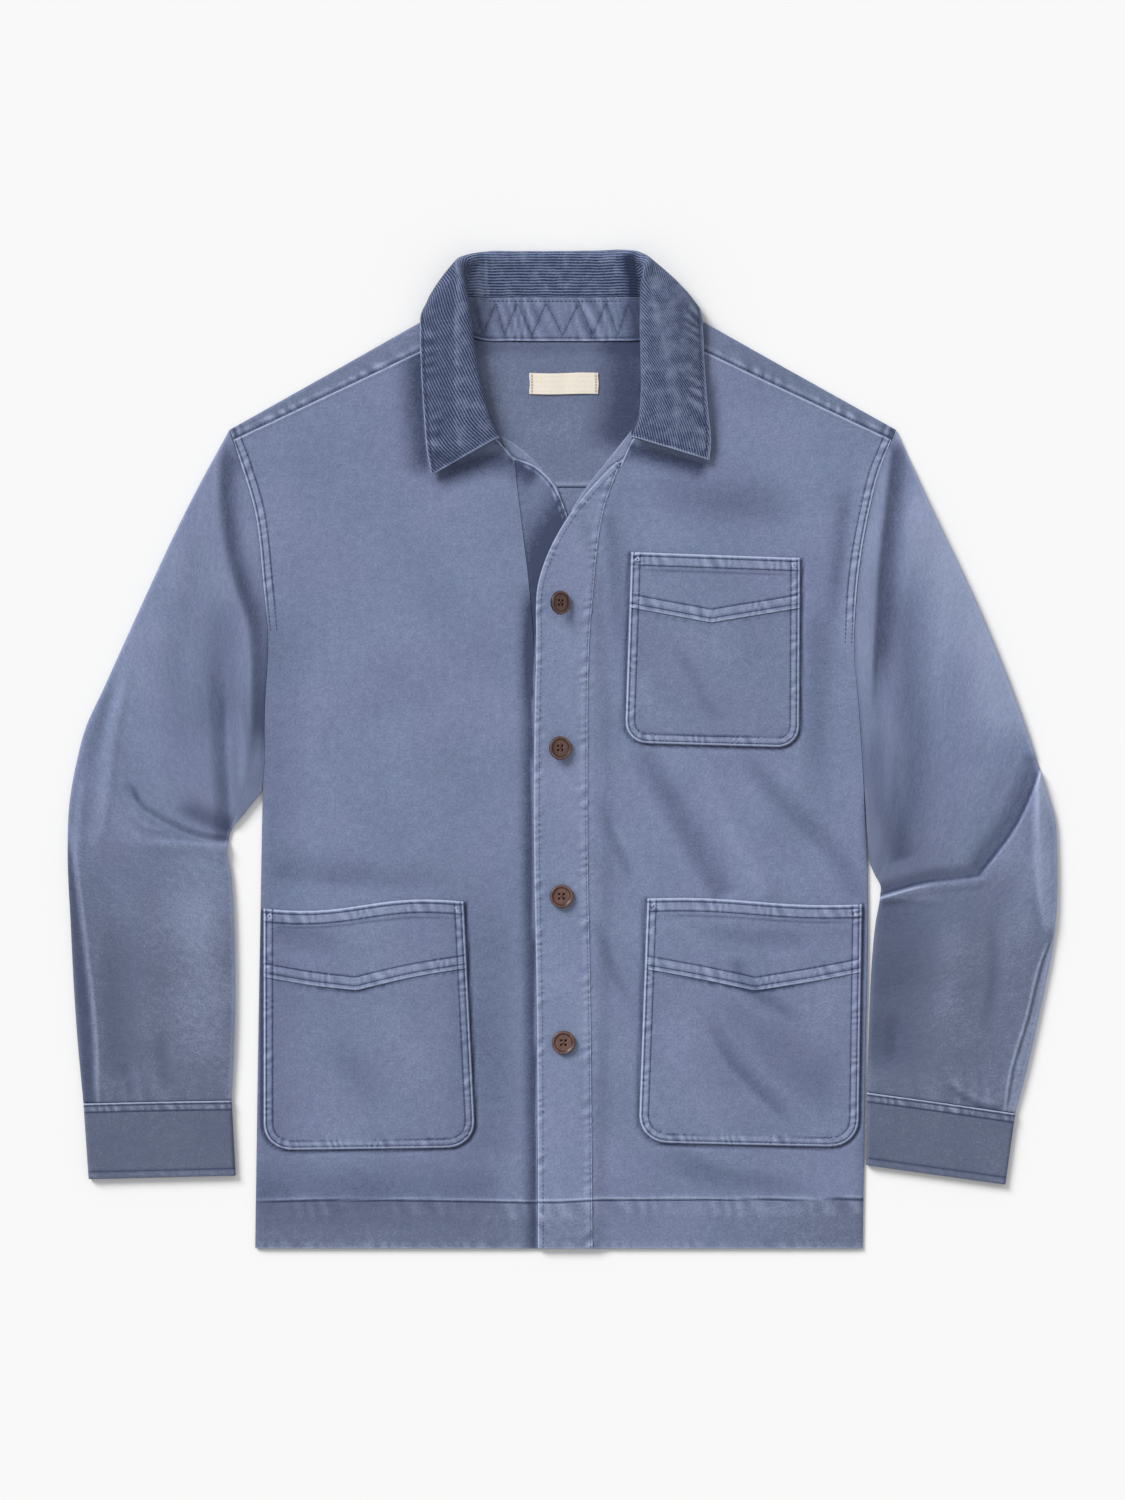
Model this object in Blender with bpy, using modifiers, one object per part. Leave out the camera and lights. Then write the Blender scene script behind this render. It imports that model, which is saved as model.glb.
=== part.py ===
"""Chore jacket laid flat on its back: a twill body with a turned-down corduroy collar.

Sizes below are in millimetres and are turned into Blender's metres where a mesh is made. X runs
across the jacket, Y from the hem to the collar, and Z up from the surface that it lies on. Left and
right are the viewer's, looking down on the front. Each cloth piece is an open sheet of points worked
out from the cut's outline, the layer below it and a table of folds, and Solidify gives it its wall.
"""

import math
from typing import NamedTuple

import bmesh
import bpy
import numpy as np

MM = 0.001
MERGE_DISTANCE = 0.00005

# Points worked out along a smooth outline, and along the line of a fold
CURVE_POINTS = 400
OUTLINE_POINTS = 200
FOLD_POINTS = 9

# Cloth walls and the room between layers
TWILL = 1.2
COLLAR_WALL = 2.2
STAND_WALL = 1.5
CUFF_WALL = 2.0
BAND_WALL = 1.6
LABEL_WALL = 0.6
SEAM_GAP = 0.3
LAYER_GAP = 0.6

# Heights of the outer face of the front cloth over the surface
FRONT_LEVEL = 3.0
FRONT_LOWEST = 2.8
FRONT_BLEND = 0.3
OVERLAP_RISE = 2.1
OVERLAP_REACH = 18.0
OVERLAP_FADE = 14.0
SIDE_FOLD_WIDTH = 8.0
SIDE_EDGE_HEIGHT = 1.5
SIDE_FADE = 30.0
BACK_INSET = 6.0
BACK_INSET_FADE = 20.0
NECK_LIFT = 2.6
NECK_LIFT_START = 258.0
NECK_LIFT_END = 316.0
NECK_LIFT_REACH = 176.0
NECK_LIFT_SIDE = 58.0
SHOULDER_BEND = 2.4
SHOULDER_ARC = (-0.8, 0.0, 0.8, math.pi / 2.0)

# Sleeves and cuffs
SLEEVE_EDGE_HEIGHT = 6.2
SLEEVE_LOWEST = 3.6
SLEEVE_LEVEL = 5.0
SLEEVE_BLEND = 0.5
CUFF_HEIGHT = 5.2
ELBOW_REACH = 0.34

# Where the grid lines of each kind of sheet lie, as shares of its length or width
FRONT_COLUMNS = np.concatenate([[0.0, 0.008, 0.02, 0.04], np.linspace(0.1, 1.0, 11)])
BAND_COLUMNS = np.linspace(0.0, 1.0, 4)
BACK_COLUMNS = np.linspace(0.0, 1.0, 7)
NECK_ROWS = np.linspace(0.0, 1.0, 7)
SEAM_ROWS = np.concatenate([np.linspace(0.0, 0.62, 12), np.linspace(0.665, 1.0, 13)])
YOKE_ROWS = np.array([0.0, 0.36, 0.5, 0.62, 0.72, 0.82, 0.91, 1.0])
SLEEVE_ROWS = np.concatenate([
    np.linspace(0.0, 0.36, 7), np.linspace(0.39, 0.65, 14), np.linspace(0.7, 1.0, 6),
])
SLEEVE_TOP = np.linspace(0.0, 1.0, 11)[1:-1]
SLEEVE_BOTTOM = np.linspace(0.0, 1.0, 5)[1:-1]
CUFF_TOP = np.linspace(0.0, 1.0, 6)[1:-1]
CUFF_BOTTOM = np.linspace(0.0, 1.0, 5)[1:-1]
CUFF_ROWS = np.linspace(0.0, 1.0, 5)
POCKET_COLUMNS = 11
POCKET_BAND_ROWS = np.linspace(0.0, 1.0, 4)
POCKET_BODY_ROWS = np.concatenate([np.linspace(0.0, 0.84, 6), [0.91, 0.955, 0.985, 1.0]])
STAND_ROWS = np.linspace(0.0, 1.0, 3)
LABEL_COLUMNS = np.linspace(-0.5, 0.5, 7)
LABEL_ROWS = np.linspace(-0.5, 0.5, 4)
SHOULDER_COLUMNS = np.linspace(0.0, 1.0, 9)

# Levels along Y
HEM_Y = -398.8
YOKE_SEAM_Y = 209.2
UNDERARM_Y = -28.0
BACK_ROWS = np.concatenate([
    np.linspace(HEM_Y, UNDERARM_Y - 20.0, 6),
    [UNDERARM_Y, UNDERARM_Y + 14.0],
    np.linspace(UNDERARM_Y + 40.0, YOKE_SEAM_Y - SEAM_GAP, 9),
])

# Buttons and label
BUTTON_RADIUS = 9.4
BUTTON_THICKNESS = 3.2
BUTTON_RIM = 2.0
BUTTON_DISH = 0.7
BUTTON_FOOT = 0.5
BUTTON_CROWN = 0.7
BUTTON_WAIST = 0.55
BUTTON_SEAT_POINTS = 24
BUTTON_STEPS = 18
BUTTONS = ((-2.2, 117.2), (-2.0, 1.2), (-0.6, -117.2), (1.2, -234.0))
LABEL_CENTRE = (1.6, 292.4)
LABEL_SIZE = (55.0, 16.8)

# Colours in linear light
TWILL_BLUE = (0.175, 0.217, 0.352, 1.0)
CORDUROY_BLUE = (0.095, 0.135, 0.252, 1.0)
LABEL_CREAM = (0.871, 0.776, 0.604, 1.0)
BUTTON_BROWN = (0.105, 0.051, 0.040, 1.0)


class Fold(NamedTuple):
    """A soft ridge or trough: its line, its reach on each side, its height and its faded ends."""

    start: tuple
    middle: tuple
    end: tuple
    reach_left: float
    reach_right: float
    height: float
    fade_in: float
    fade_out: float


class Pocket(NamedTuple):
    """A patch pocket: corners before rounding, its corner radius and the point of its top band."""

    name: str
    top_left: tuple
    top_right: tuple
    bottom_right: tuple
    bottom_left: tuple
    top_bow: float
    radius: float
    band_left: float
    band_point: float
    band_right: float
    point_place: float


class SleeveCut(NamedTuple):
    """A sleeve as it lies: its outlines, where they meet the elbow fold, and its folds."""

    outer: tuple
    inner: tuple
    elbow_outer: float
    elbow_inner: float
    elbow_sag: tuple
    folds: tuple


class Station(NamedTuple):
    """One section through the collar, from the neck seam over the roll to the free edge.

    heading is the way out from the neck in degrees, nose the tilt of the roll (0 points into the neck,
    90 up, 180 out), and radius its bend. neck, seam, roll and edge are points on the cloth.
    """

    heading: float
    nose: float
    radius: float
    neck: tuple
    seam: tuple
    roll: tuple
    edge: tuple
    bulge_out: float
    bulge_up: float


# Outlines of the cut as it lies, from the hem upwards
LEFT_SIDE = ((-245.6, HEM_Y), (-243.4, -250.0), (-241.0, -110.0), (-239.4, UNDERARM_Y))
LEFT_ARMHOLE = (
    (-239.4, UNDERARM_Y),
    (-237.6, 34.8),
    (-235.2, 94.0),
    (-238.4, 128.4),
    (-246.4, 194.0),
    (-256.8, 228.4),
    (-265.8, 253.2),
)
RIGHT_SIDE = ((240.6, HEM_Y), (242.8, -250.0), (244.8, -104.4), (241.4, UNDERARM_Y))
RIGHT_ARMHOLE = (
    (241.4, UNDERARM_Y),
    (238.2, 22.8),
    (233.6, 84.0),
    (236.4, 134.0),
    (246.4, 194.0),
    (253.6, 222.0),
    (266.6, 253.0),
)
UNDERLAP_SEAM = (
    (-20.0, HEM_Y),
    (-20.0, 40.0),
    (-25.0, 120.0),
    (-32.5, 185.0),
    (-36.0, 214.0),
    (-37.5, 231.0),
)
UNDERLAP_NECK = ((-37.5, 231.0), (-49.0, 245.0), (-68.0, 264.0), (-86.0, 294.0), (-92.0, 328.0))
UNDERLAP_EDGE = (
    (19.0, HEM_Y),
    (19.0, 90.0),
    (12.0, 158.0),
    (3.2, 190.0),
    (-8.0, 214.0),
    (-24.0, 228.0),
    (-36.5, 232.4),
)
OVERLAP_EDGE = (
    (-19.2, HEM_Y),
    (-20.0, -211.6),
    (-22.4, -51.6),
    (-20.6, 80.0),
    (-18.4, 135.6),
    (-9.6, 160.4),
    (0.8, 179.6),
    (14.4, 198.8),
    (26.4, 212.4),
    (43.6, 230.0),
)
OVERLAP_SEAM = (
    (24.8, HEM_Y),
    (23.2, -211.6),
    (20.8, -38.0),
    (24.8, 119.6),
    (36.0, 199.6),
    (46.4, 226.8),
)
OVERLAP_NECK = ((46.4, 226.8), (56.0, 247.0), (72.0, 268.0), (87.0, 296.0), (92.0, 328.0))

# Shoulders: where the yoke folds over, and its seam on the front
LEFT_SHOULDER = {"fold": ((-265.8, 255.6), (-95.0, 351.6)), "seam": ((-262.6, 247.4), (-92.0, 328.0))}
RIGHT_SHOULDER = {"fold": ((267.0, 255.6), (95.0, 351.6)), "seam": ((263.4, 247.4), (92.0, 328.0))}
BACK_NECK = ((93.8, 349.4), (86.0, 340.0), (70.0, 330.4), (44.0, 326.6), (0.0, 326.0))
NECK_FEET = (101.0, 93.0, 82.0, 66.0, 46.0, 24.0, 0.0)

# Sleeve outlines from the shoulder to the cuff seam, and the cuffs below them
LEFT_SLEEVE_OUTER = (
    (-267.4, 253.0),
    (-293.6, 204.4),
    (-340.4, 106.0),
    (-384.6, 8.0),
    (-393.6, -42.0),
    (-395.2, -80.0),
    (-392.8, -138.8),
    (-387.6, -228.4),
    (-382.6, -282.4),
)
LEFT_SLEEVE_INNER = (
    (-240.2, -34.0),
    (-253.6, -51.0),
    (-265.0, -66.0),
    (-267.0, -76.0),
    (-264.0, -104.0),
    (-261.4, -164.4),
    (-261.4, -215.6),
    (-264.0, -280.0),
)
RIGHT_SLEEVE_OUTER = (
    (268.4, 253.0),
    (292.0, 200.4),
    (335.2, 108.4),
    (378.8, -6.0),
    (394.0, -55.6),
    (395.8, -82.0),
    (393.6, -147.6),
    (383.2, -203.6),
    (371.2, -257.2),
    (362.4, -290.4),
)
RIGHT_SLEEVE_INNER = (
    (245.4, -90.0),
    (250.2, -100.5),
    (254.8, -110.0),
    (254.2, -118.0),
    (250.8, -138.0),
    (247.0, -180.4),
    (245.2, -226.8),
    (243.6, -273.6),
)
LEFT_CUFF = ((-382.6, -282.4), (-264.0, -280.0), (-260.8, -340.4), (-378.4, -343.2))
RIGHT_CUFF = ((362.4, -290.4), (243.6, -273.6), (243.0, -332.0), (354.4, -347.6))

# Folds: start, middle, end, reach on the left and right of the line, height, faded ends
FRONT_FOLDS = (
    Fold((-228.0, 170.0), (-214.0, 96.0), (-214.0, 10.0), 26.0, 34.0, 1.1, 0.3, 0.4),
    Fold((-150.0, 230.0), (-160.0, 60.0), (-150.0, -90.0), 70.0, 70.0, 1.3, 0.4, 0.4),
    Fold((-52.0, 190.0), (-56.0, 0.0), (-50.0, -330.0), 30.0, 40.0, 0.9, 0.3, 0.2),
    Fold((-150.0, -150.0), (-150.0, -220.0), (-150.0, -290.0), 70.0, 70.0, 1.2, 0.4, 0.4),
    Fold((212.0, 180.0), (202.0, 60.0), (212.0, -60.0), 36.0, 24.0, 1.2, 0.3, 0.4),
    Fold((40.0, 0.0), (62.0, -52.0), (92.0, -104.0), 18.0, 26.0, 0.9, 0.3, 0.4),
    Fold((96.0, -6.0), (124.0, -50.0), (150.0, -104.0), 20.0, 26.0, 1.1, 0.3, 0.4),
    Fold((120.0, 90.0), (126.0, 60.0), (130.0, 30.0), 44.0, 44.0, 0.8, 0.4, 0.4),
    Fold((104.0, -150.0), (138.0, -226.0), (188.0, -290.0), 26.0, 30.0, 1.5, 0.3, 0.3),
    Fold((138.0, -166.0), (176.0, -206.0), (220.0, -236.0), 18.0, 22.0, 0.9, 0.3, 0.3),
    Fold((44.0, -120.0), (52.0, -220.0), (46.0, -330.0), 18.0, 26.0, 0.8, 0.3, 0.3),
)
LEFT_SLEEVE_FOLDS = (
    Fold((-274.0, 246.0), (-266.0, 160.0), (-244.0, 10.0), 13.0, 10.0, -1.6, 0.1, 0.2),
    Fold((-300.0, 150.0), (-302.0, 90.0), (-296.0, 10.0), 34.0, 36.0, 2.0, 0.3, 0.4),
    Fold((-338.0, 90.0), (-366.0, 10.0), (-372.0, -120.0), 24.0, 20.0, 3.2, 0.4, 0.4),
    Fold((-346.0, -26.0), (-318.0, -54.0), (-264.0, -68.0), 24.0, 12.0, -4.0, 0.3, 0.05),
    Fold((-344.0, -50.0), (-312.0, -80.0), (-262.0, -92.0), 20.0, 34.0, 4.2, 0.3, 0.05),
    Fold((-318.0, -120.0), (-314.0, -180.0), (-318.0, -250.0), 34.0, 36.0, 1.8, 0.3, 0.3),
    Fold((-385.0, -60.0), (-376.0, -170.0), (-372.0, -284.0), 26.0, 6.0, 2.4, 0.3, 0.0),
)
RIGHT_SLEEVE_FOLDS = (
    Fold((274.0, 246.0), (262.0, 160.0), (250.0, 30.0), 10.0, 13.0, -1.6, 0.1, 0.2),
    Fold((300.0, 150.0), (306.0, 80.0), (296.0, 0.0), 36.0, 36.0, 2.0, 0.3, 0.4),
    Fold((250.0, -118.0), (300.0, -110.0), (338.0, -104.0), 18.0, 40.0, 5.0, 0.02, 0.3),
    Fold((250.0, -98.0), (296.0, -88.0), (330.0, -84.0), 26.0, 10.0, -2.8, 0.1, 0.3),
    Fold((330.0, -92.0), (356.0, -62.0), (379.0, -8.0), 18.0, 14.0, -3.4, 0.3, 0.05),
    Fold((376.0, -30.0), (382.0, -80.0), (384.0, -130.0), 12.0, 16.0, 2.8, 0.3, 0.4),
    Fold((300.0, -130.0), (300.0, -190.0), (298.0, -260.0), 32.0, 36.0, 2.0, 0.3, 0.3),
    Fold((386.0, -146.0), (372.0, -200.0), (358.0, -288.0), 6.0, 26.0, 2.6, 0.2, 0.0),
)
LEFT_SLEEVE = SleeveCut(LEFT_SLEEVE_OUTER, LEFT_SLEEVE_INNER, 0.5, 0.2, (0.0, -6.0), LEFT_SLEEVE_FOLDS)
RIGHT_SLEEVE = SleeveCut(RIGHT_SLEEVE_OUTER, RIGHT_SLEEVE_INNER, 0.49, 0.13, (0.0, -38.0),
                         RIGHT_SLEEVE_FOLDS)

# Pockets: corners, bow of the top edge, corner radius, depth of the band at its ends and point
POCKETS = (
    Pocket("chest_pocket", (55.2, 158.0), (190.4, 153.2), (189.6, 1.2), (50.0, 5.2),
           0.0, 17.0, 41.6, 51.6, 37.6, 0.48),
    Pocket("lower_pocket_left", (-238.6, -127.0), (-78.4, -121.2), (-68.8, -318.0), (-238.6, -320.4),
           -3.0, 21.0, 52.4, 64.8, 50.4, 0.455),
    Pocket("lower_pocket_right", (68.0, -118.8), (239.8, -123.6), (237.0, -318.0), (60.8, -314.0),
           1.5, 22.0, 53.6, 68.5, 51.6, 0.51),
)

# Collar sections, from the viewer's left front end round the back of the neck to the right
LEFT_STATIONS = (
    Station(196, 0, 2.7, (-60.5, 245.6, 5.4), (-55.5, 246.6, 5.8), (-49.6, 248.6, 8.8),
            (-104.0, 218.8, 8.0), 0.0, 2.0),
    Station(188, 0, 3.4, (-70.0, 259.0, 5.8), (-64.0, 261.5, 6.2), (-56.8, 263.4, 11.0),
            (-107.6, 237.0, 8.4), 0.0, 2.4),
    Station(184, 0, 4.2, (-82.0, 280.0, 6.8), (-75.0, 284.0, 7.2), (-64.0, 290.8, 13.0),
            (-110.4, 271.0, 9.2), 0.0, 2.6),
    Station(180, 0, 4.8, (-91.0, 304.0, 7.6), (-82.0, 311.0, 8.0), (-69.8, 323.6, 15.0),
            (-112.4, 304.0, 10.4), 0.0, 2.8),
    Station(172, 8, 4.8, (-93.9, 326.0, 7.8), (-84.9, 332.0, 8.6), (-72.6, 347.0, 17.6),
            (-113.2, 331.0, 11.0), 3.0, 2.4),
    Station(152, 45, 4.8, (-96.0, 340.0, 7.0), (-87.0, 348.0, 12.5), (-77.5, 372.3, 22.1),
            (-114.2, 348.0, 9.0), 9.0, 1.0),
    Station(135, 80, 4.8, (-91.9, 345.6, 6.6), (-82.9, 359.7, 12.7), (-80.0, 386.0, 23.0),
            (-112.0, 350.6, -1.0), 11.0, -4.0),
    Station(123, 120, 5.0, (-82.6, 341.6, 5.6), (-72.0, 361.4, 9.9), (-73.0, 393.0, 17.0),
            (-96.0, 331.0, -4.0), 8.0, -6.0),
    Station(99, 166, 5.4, (-66.0, 330.8, 4.7), (-60.0, 361.0, 6.4), (-60.0, 397.4, 8.6),
            (-72.0, 321.0, -4.0), 0.0, -4.0),
    Station(90, 180, 5.4, (-38.0, 327.4, 4.5), (-38.0, 361.2, 6.0), (-36.0, 398.0, 5.4),
            (-38.0, 318.6, -4.0), 0.0, -4.0),
)
MIDDLE_STATION = Station(90, 180, 5.2, (0.0, 326.4, 4.4), (0.0, 361.2, 5.8), (0.0, 398.2, 5.2),
                         (0.0, 318.2, -4.0), 0.0, -4.0)
RIGHT_STATIONS = (
    Station(90, 180, 5.4, (38.0, 327.4, 4.5), (34.0, 361.2, 6.0), (32.0, 398.6, 5.4),
            (38.0, 318.6, -4.0), 0.0, -4.0),
    Station(82, 166, 5.4, (66.0, 330.8, 4.7), (50.0, 361.6, 6.5), (50.0, 398.8, 8.6),
            (72.0, 321.0, -4.0), 0.0, -4.0),
    Station(64, 125, 5.0, (82.3, 341.7, 5.3), (62.1, 360.6, 9.5), (61.0, 395.0, 17.0),
            (96.0, 331.0, -4.0), 9.0, -6.0),
    Station(46, 80, 4.8, (90.1, 346.1, 6.0), (74.4, 359.2, 12.7), (66.4, 387.0, 23.0),
            (111.4, 350.6, -1.0), 13.0, -4.0),
    Station(28, 45, 4.8, (96.0, 340.0, 7.0), (79.0, 347.4, 12.8), (63.4, 370.0, 22.0),
            (112.8, 348.0, 9.0), 11.0, 1.0),
    Station(8, 8, 4.8, (94.0, 326.0, 7.8), (77.0, 330.6, 8.3), (61.8, 345.0, 17.6),
            (112.6, 331.0, 11.0), 3.0, 2.4),
    Station(0, 0, 4.8, (91.0, 304.0, 7.6), (76.0, 308.0, 8.0), (62.4, 313.6, 15.0),
            (114.0, 304.0, 10.4), 0.0, 2.8),
    Station(-4, 0, 4.2, (82.0, 280.0, 6.8), (72.0, 282.0, 7.2), (62.6, 284.0, 13.0),
            (116.6, 272.0, 9.2), 0.0, 2.6),
    Station(-8, 0, 3.4, (73.0, 258.0, 5.8), (67.4, 260.6, 6.2), (60.4, 262.4, 11.0),
            (119.0, 246.0, 8.4), 0.0, 2.4),
    Station(-12, 0, 2.7, (66.0, 246.4, 5.4), (61.0, 247.4, 5.8), (55.2, 249.2, 8.8),
            (117.6, 230.8, 8.0), 0.0, 2.0),
)
ROLL_LENGTH = 1.35
ROLL_ARC = (-0.75, 0.0, 0.75)
STATION_SPREAD = 6.0
FLOOR_BLEND = 1.0
INNER_ROWS = np.linspace(0.0, 1.0, 3)
FALL_ROWS = np.linspace(0.0, 1.0, 6)
COLLAR_SECTIONS = 43
STAND_SIDE_GAP = 0.9


def remove_startup_objects():
    """Empty the scene that Blender starts with."""
    for startup in list(bpy.data.objects):
        bpy.data.objects.remove(startup)


def material(name, colour, roughness):
    """Return a plain Principled finish for one kind of piece."""
    finish = bpy.data.materials.new(name)
    finish.use_nodes = True
    shader = finish.node_tree.nodes["Principled BSDF"]
    shader.inputs["Base Color"].default_value = colour
    shader.inputs["Roughness"].default_value = roughness
    shader.inputs["Metallic"].default_value = 0.0
    return finish


def ease(value):
    """Rise smoothly from 0 to 1 as the value goes from 0 to 1."""
    step = np.clip(value, 0.0, 1.0)
    return step * step * (3.0 - 2.0 * step)


def not_below(value, floor, blend):
    """Keep values from going below a floor, with a rounded join as wide as the blend."""
    over = np.asarray(value, float) - floor
    rounded = (over + blend) ** 2 / (4.0 * blend)
    return floor + np.where(np.abs(over) < blend, rounded, np.maximum(over, 0.0))


def smooth_rows(knots, rows, places):
    """Interpolate a table's rows at the given places with a smooth curve through every row."""
    knots, rows = np.asarray(knots, float), np.asarray(rows, float)
    gaps = np.diff(knots)[:, None]
    slopes = np.diff(rows, axis=0) / gaps
    inner = (slopes[1:] * gaps[:-1] + slopes[:-1] * gaps[1:]) / (gaps[1:] + gaps[:-1])
    tangents = np.vstack([slopes[:1], inner, slopes[-1:]])
    index = np.clip(np.searchsorted(knots, places, side="right") - 1, 0, len(knots) - 2)
    gap = gaps[index]
    t = ((np.asarray(places) - knots[index])[:, None]) / gap
    start = (2 * t**3 - 3 * t**2 + 1) * rows[index] + (t**3 - 2 * t**2 + t) * gap * tangents[index]
    end = (3 * t**2 - 2 * t**3) * rows[index + 1] + (t**3 - t**2) * gap * tangents[index + 1]
    return start + end


def curve_through(points, fractions):
    """Points of a smooth curve at the given fractions of its length."""
    points = np.asarray(points, float)
    knots = np.concatenate([[0.0], np.cumsum(np.linalg.norm(np.diff(points, axis=0), axis=1))])
    fine = smooth_rows(knots, points, np.linspace(0.0, knots[-1], CURVE_POINTS))
    lengths = np.concatenate([[0.0], np.cumsum(np.linalg.norm(np.diff(fine, axis=0), axis=1))])
    wanted = np.asarray(fractions, float) * lengths[-1]
    return np.stack([np.interp(wanted, lengths, column) for column in fine.T], axis=1)


def fold_height(x, y, folds):
    """Sum the heights of the folds at the given places."""
    total = np.zeros_like(x)
    for fold in folds:
        line = curve_through((fold.start, fold.middle, fold.end), np.linspace(0.0, 1.0, FOLD_POINTS))
        nearest = np.full(x.shape, np.inf)
        side = np.zeros_like(x)
        along = np.zeros_like(x)
        for place, (a, b) in enumerate(zip(line[:-1], line[1:])):
            run = b - a
            t = np.clip(((x - a[0]) * run[0] + (y - a[1]) * run[1]) / run.dot(run), 0.0, 1.0)
            away_x, away_y = x - a[0] - t * run[0], y - a[1] - t * run[1]
            distance = np.hypot(away_x, away_y)
            closer = distance < nearest
            nearest = np.where(closer, distance, nearest)
            side = np.where(closer, run[0] * away_y - run[1] * away_x, side)
            along = np.where(closer, (place + t) / (len(line) - 1), along)
        reach = np.where(side > 0.0, fold.reach_left, fold.reach_right)
        bell = 0.5 + 0.5 * np.cos(np.pi * np.clip(nearest / reach, 0.0, 1.0))
        fade = ease(along / max(fold.fade_in, 0.001)) * ease((1.0 - along) / max(fold.fade_out, 0.001))
        total += fold.height * bell * np.where(nearest < reach, fade, 0.0)
    return total


def outline_x(outline, y):
    """Place across of a smooth outline at the given levels."""
    line = curve_through(outline, np.linspace(0.0, 1.0, OUTLINE_POINTS))
    return np.interp(y, line[:, 1], line[:, 0])


def neck_lift(x, y):
    """Rise of the back of the neck over the collar's fall, which lies under it."""
    along = ease((y - NECK_LIFT_START) / (NECK_LIFT_END - NECK_LIFT_START))
    return NECK_LIFT * along * ease((NECK_LIFT_REACH - np.abs(x)) / NECK_LIFT_SIDE)


def side_height(x, y):
    """Share of the full height left near the side folds: 1 inside, less at the very edge."""
    room = np.minimum(x - outline_x(LEFT_SIDE, y), outline_x(RIGHT_SIDE, y) - x)
    inside = np.clip(room, 0.0, SIDE_FOLD_WIDTH) / SIDE_FOLD_WIDTH
    below_arm = ease((UNDERARM_Y - y) / SIDE_FADE)
    return 1.0 - below_arm * (1.0 - np.sqrt(1.0 - (1.0 - inside) ** 2))


def front_face(x, y):
    """Height of the outer face of the fronts where they lie on the back."""
    raised = FRONT_LEVEL + fold_height(x, y, FRONT_FOLDS)
    level = not_below(raised, FRONT_LOWEST, FRONT_BLEND)
    share = side_height(x, y)
    return SIDE_EDGE_HEIGHT + (level - SIDE_EDGE_HEIGHT) * share + neck_lift(x, y)


def overlap_face(x, y):
    """Height of the outer face of the overlapping front, which also clears the underlap."""
    past_edge = x - outline_x(UNDERLAP_EDGE, y)
    return front_face(x, y) + OVERLAP_RISE * ease((OVERLAP_REACH - past_edge) / OVERLAP_FADE)


def sheet(name, grid, wall, finish, collection, outward=False, wrap=False, flip=False):
    """Add a cloth piece: a sheet through a grid of points, with its wall inside or outside it.

    A point that isn't a number is left out of the sheet with its faces.
    """
    rows, columns = grid.shape[:2]
    points = grid.reshape(-1, 3)
    cage = bmesh.new()
    bmesh.ops.create_grid(cage, x_segments=columns - 1, y_segments=rows - 1, size=1.0)
    cage.verts.ensure_lookup_table()
    for vertex, point in zip(cage.verts, np.nan_to_num(points)):
        vertex.co = point * MM
    left_out = [cage.verts[index] for index in np.flatnonzero(np.isnan(points[:, 0]))]
    bmesh.ops.delete(cage, geom=left_out, context="VERTS")
    if wrap:
        bmesh.ops.remove_doubles(cage, verts=cage.verts, dist=MERGE_DISTANCE)
    if flip:
        bmesh.ops.reverse_faces(cage, faces=cage.faces)
    mesh = bpy.data.meshes.new(name)
    cage.to_mesh(mesh)
    cage.free()
    mesh.materials.append(finish)
    piece = bpy.data.objects.new(name, mesh)
    collection.objects.link(piece)
    solidify = piece.modifiers.new("wall", "SOLIDIFY")
    solidify.thickness = wall * MM
    solidify.offset = 1.0 if outward else -1.0
    return piece


def between(left, right, fractions, face):
    """Grid of points between two matched outlines, at heights that a function gives."""
    share = np.asarray(fractions)[None, :, None]
    plan = left[:, None, :] * (1.0 - share) + right[:, None, :] * share
    heights = face(plan[..., 0], plan[..., 1])
    return np.dstack([plan, heights])


def build_back(finish, collection):
    """Add the back body panel, which lies flat on the surface."""
    inset = SEAM_GAP + BACK_INSET * ease((UNDERARM_Y + 14.0 - BACK_ROWS) / BACK_INSET_FADE)
    left = np.stack([outline_x(LEFT_SIDE[:-1] + LEFT_ARMHOLE, BACK_ROWS) + inset, BACK_ROWS], axis=1)
    right = np.stack([outline_x(RIGHT_SIDE[:-1] + RIGHT_ARMHOLE, BACK_ROWS) - inset, BACK_ROWS], axis=1)
    grid = between(left, right, BACK_COLUMNS, lambda x, y: np.zeros_like(x))
    sheet("back", grid, TWILL, finish, collection, outward=True)


def build_front(name, side, armhole, seam, neck, shoulder, face, finish, collection, flip):
    """Add one front panel, from its side fold and armhole to its band seam and neck."""
    outward = math.copysign(1.0, side[0][0])
    neck_rows = curve_through(neck, NECK_ROWS)[1:]
    inner = np.vstack([curve_through(seam, SEAM_ROWS), neck_rows])
    lengths = np.concatenate([[0.0], np.cumsum(np.linalg.norm(np.diff(inner, axis=0), axis=1))])
    outline = side[:-1] + armhole[:-1] + (shoulder["seam"][0],)
    outer = curve_through(outline, lengths / lengths[-1])
    outer[:, 0] -= outward * SEAM_GAP
    inner[:, 0] += outward * SEAM_GAP / 2.0
    grid = between(outer, inner, FRONT_COLUMNS, face)
    grid[-1, :, 1] -= SEAM_GAP
    sheet(name, grid, TWILL, finish, collection, flip=flip)


def build_band(name, edge, seam, face, finish, collection, flip):
    """Add one front band between its free edge and its seam."""
    inward = math.copysign(1.0, edge[0][0] - seam[0][0])
    seam_line = curve_through(seam, SEAM_ROWS)
    seam_line[:, 0] += inward * SEAM_GAP / 2.0
    grid = between(curve_through(edge, SEAM_ROWS), seam_line, BAND_COLUMNS, face)
    sheet(name, grid, TWILL, finish, collection, flip=flip)


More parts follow.
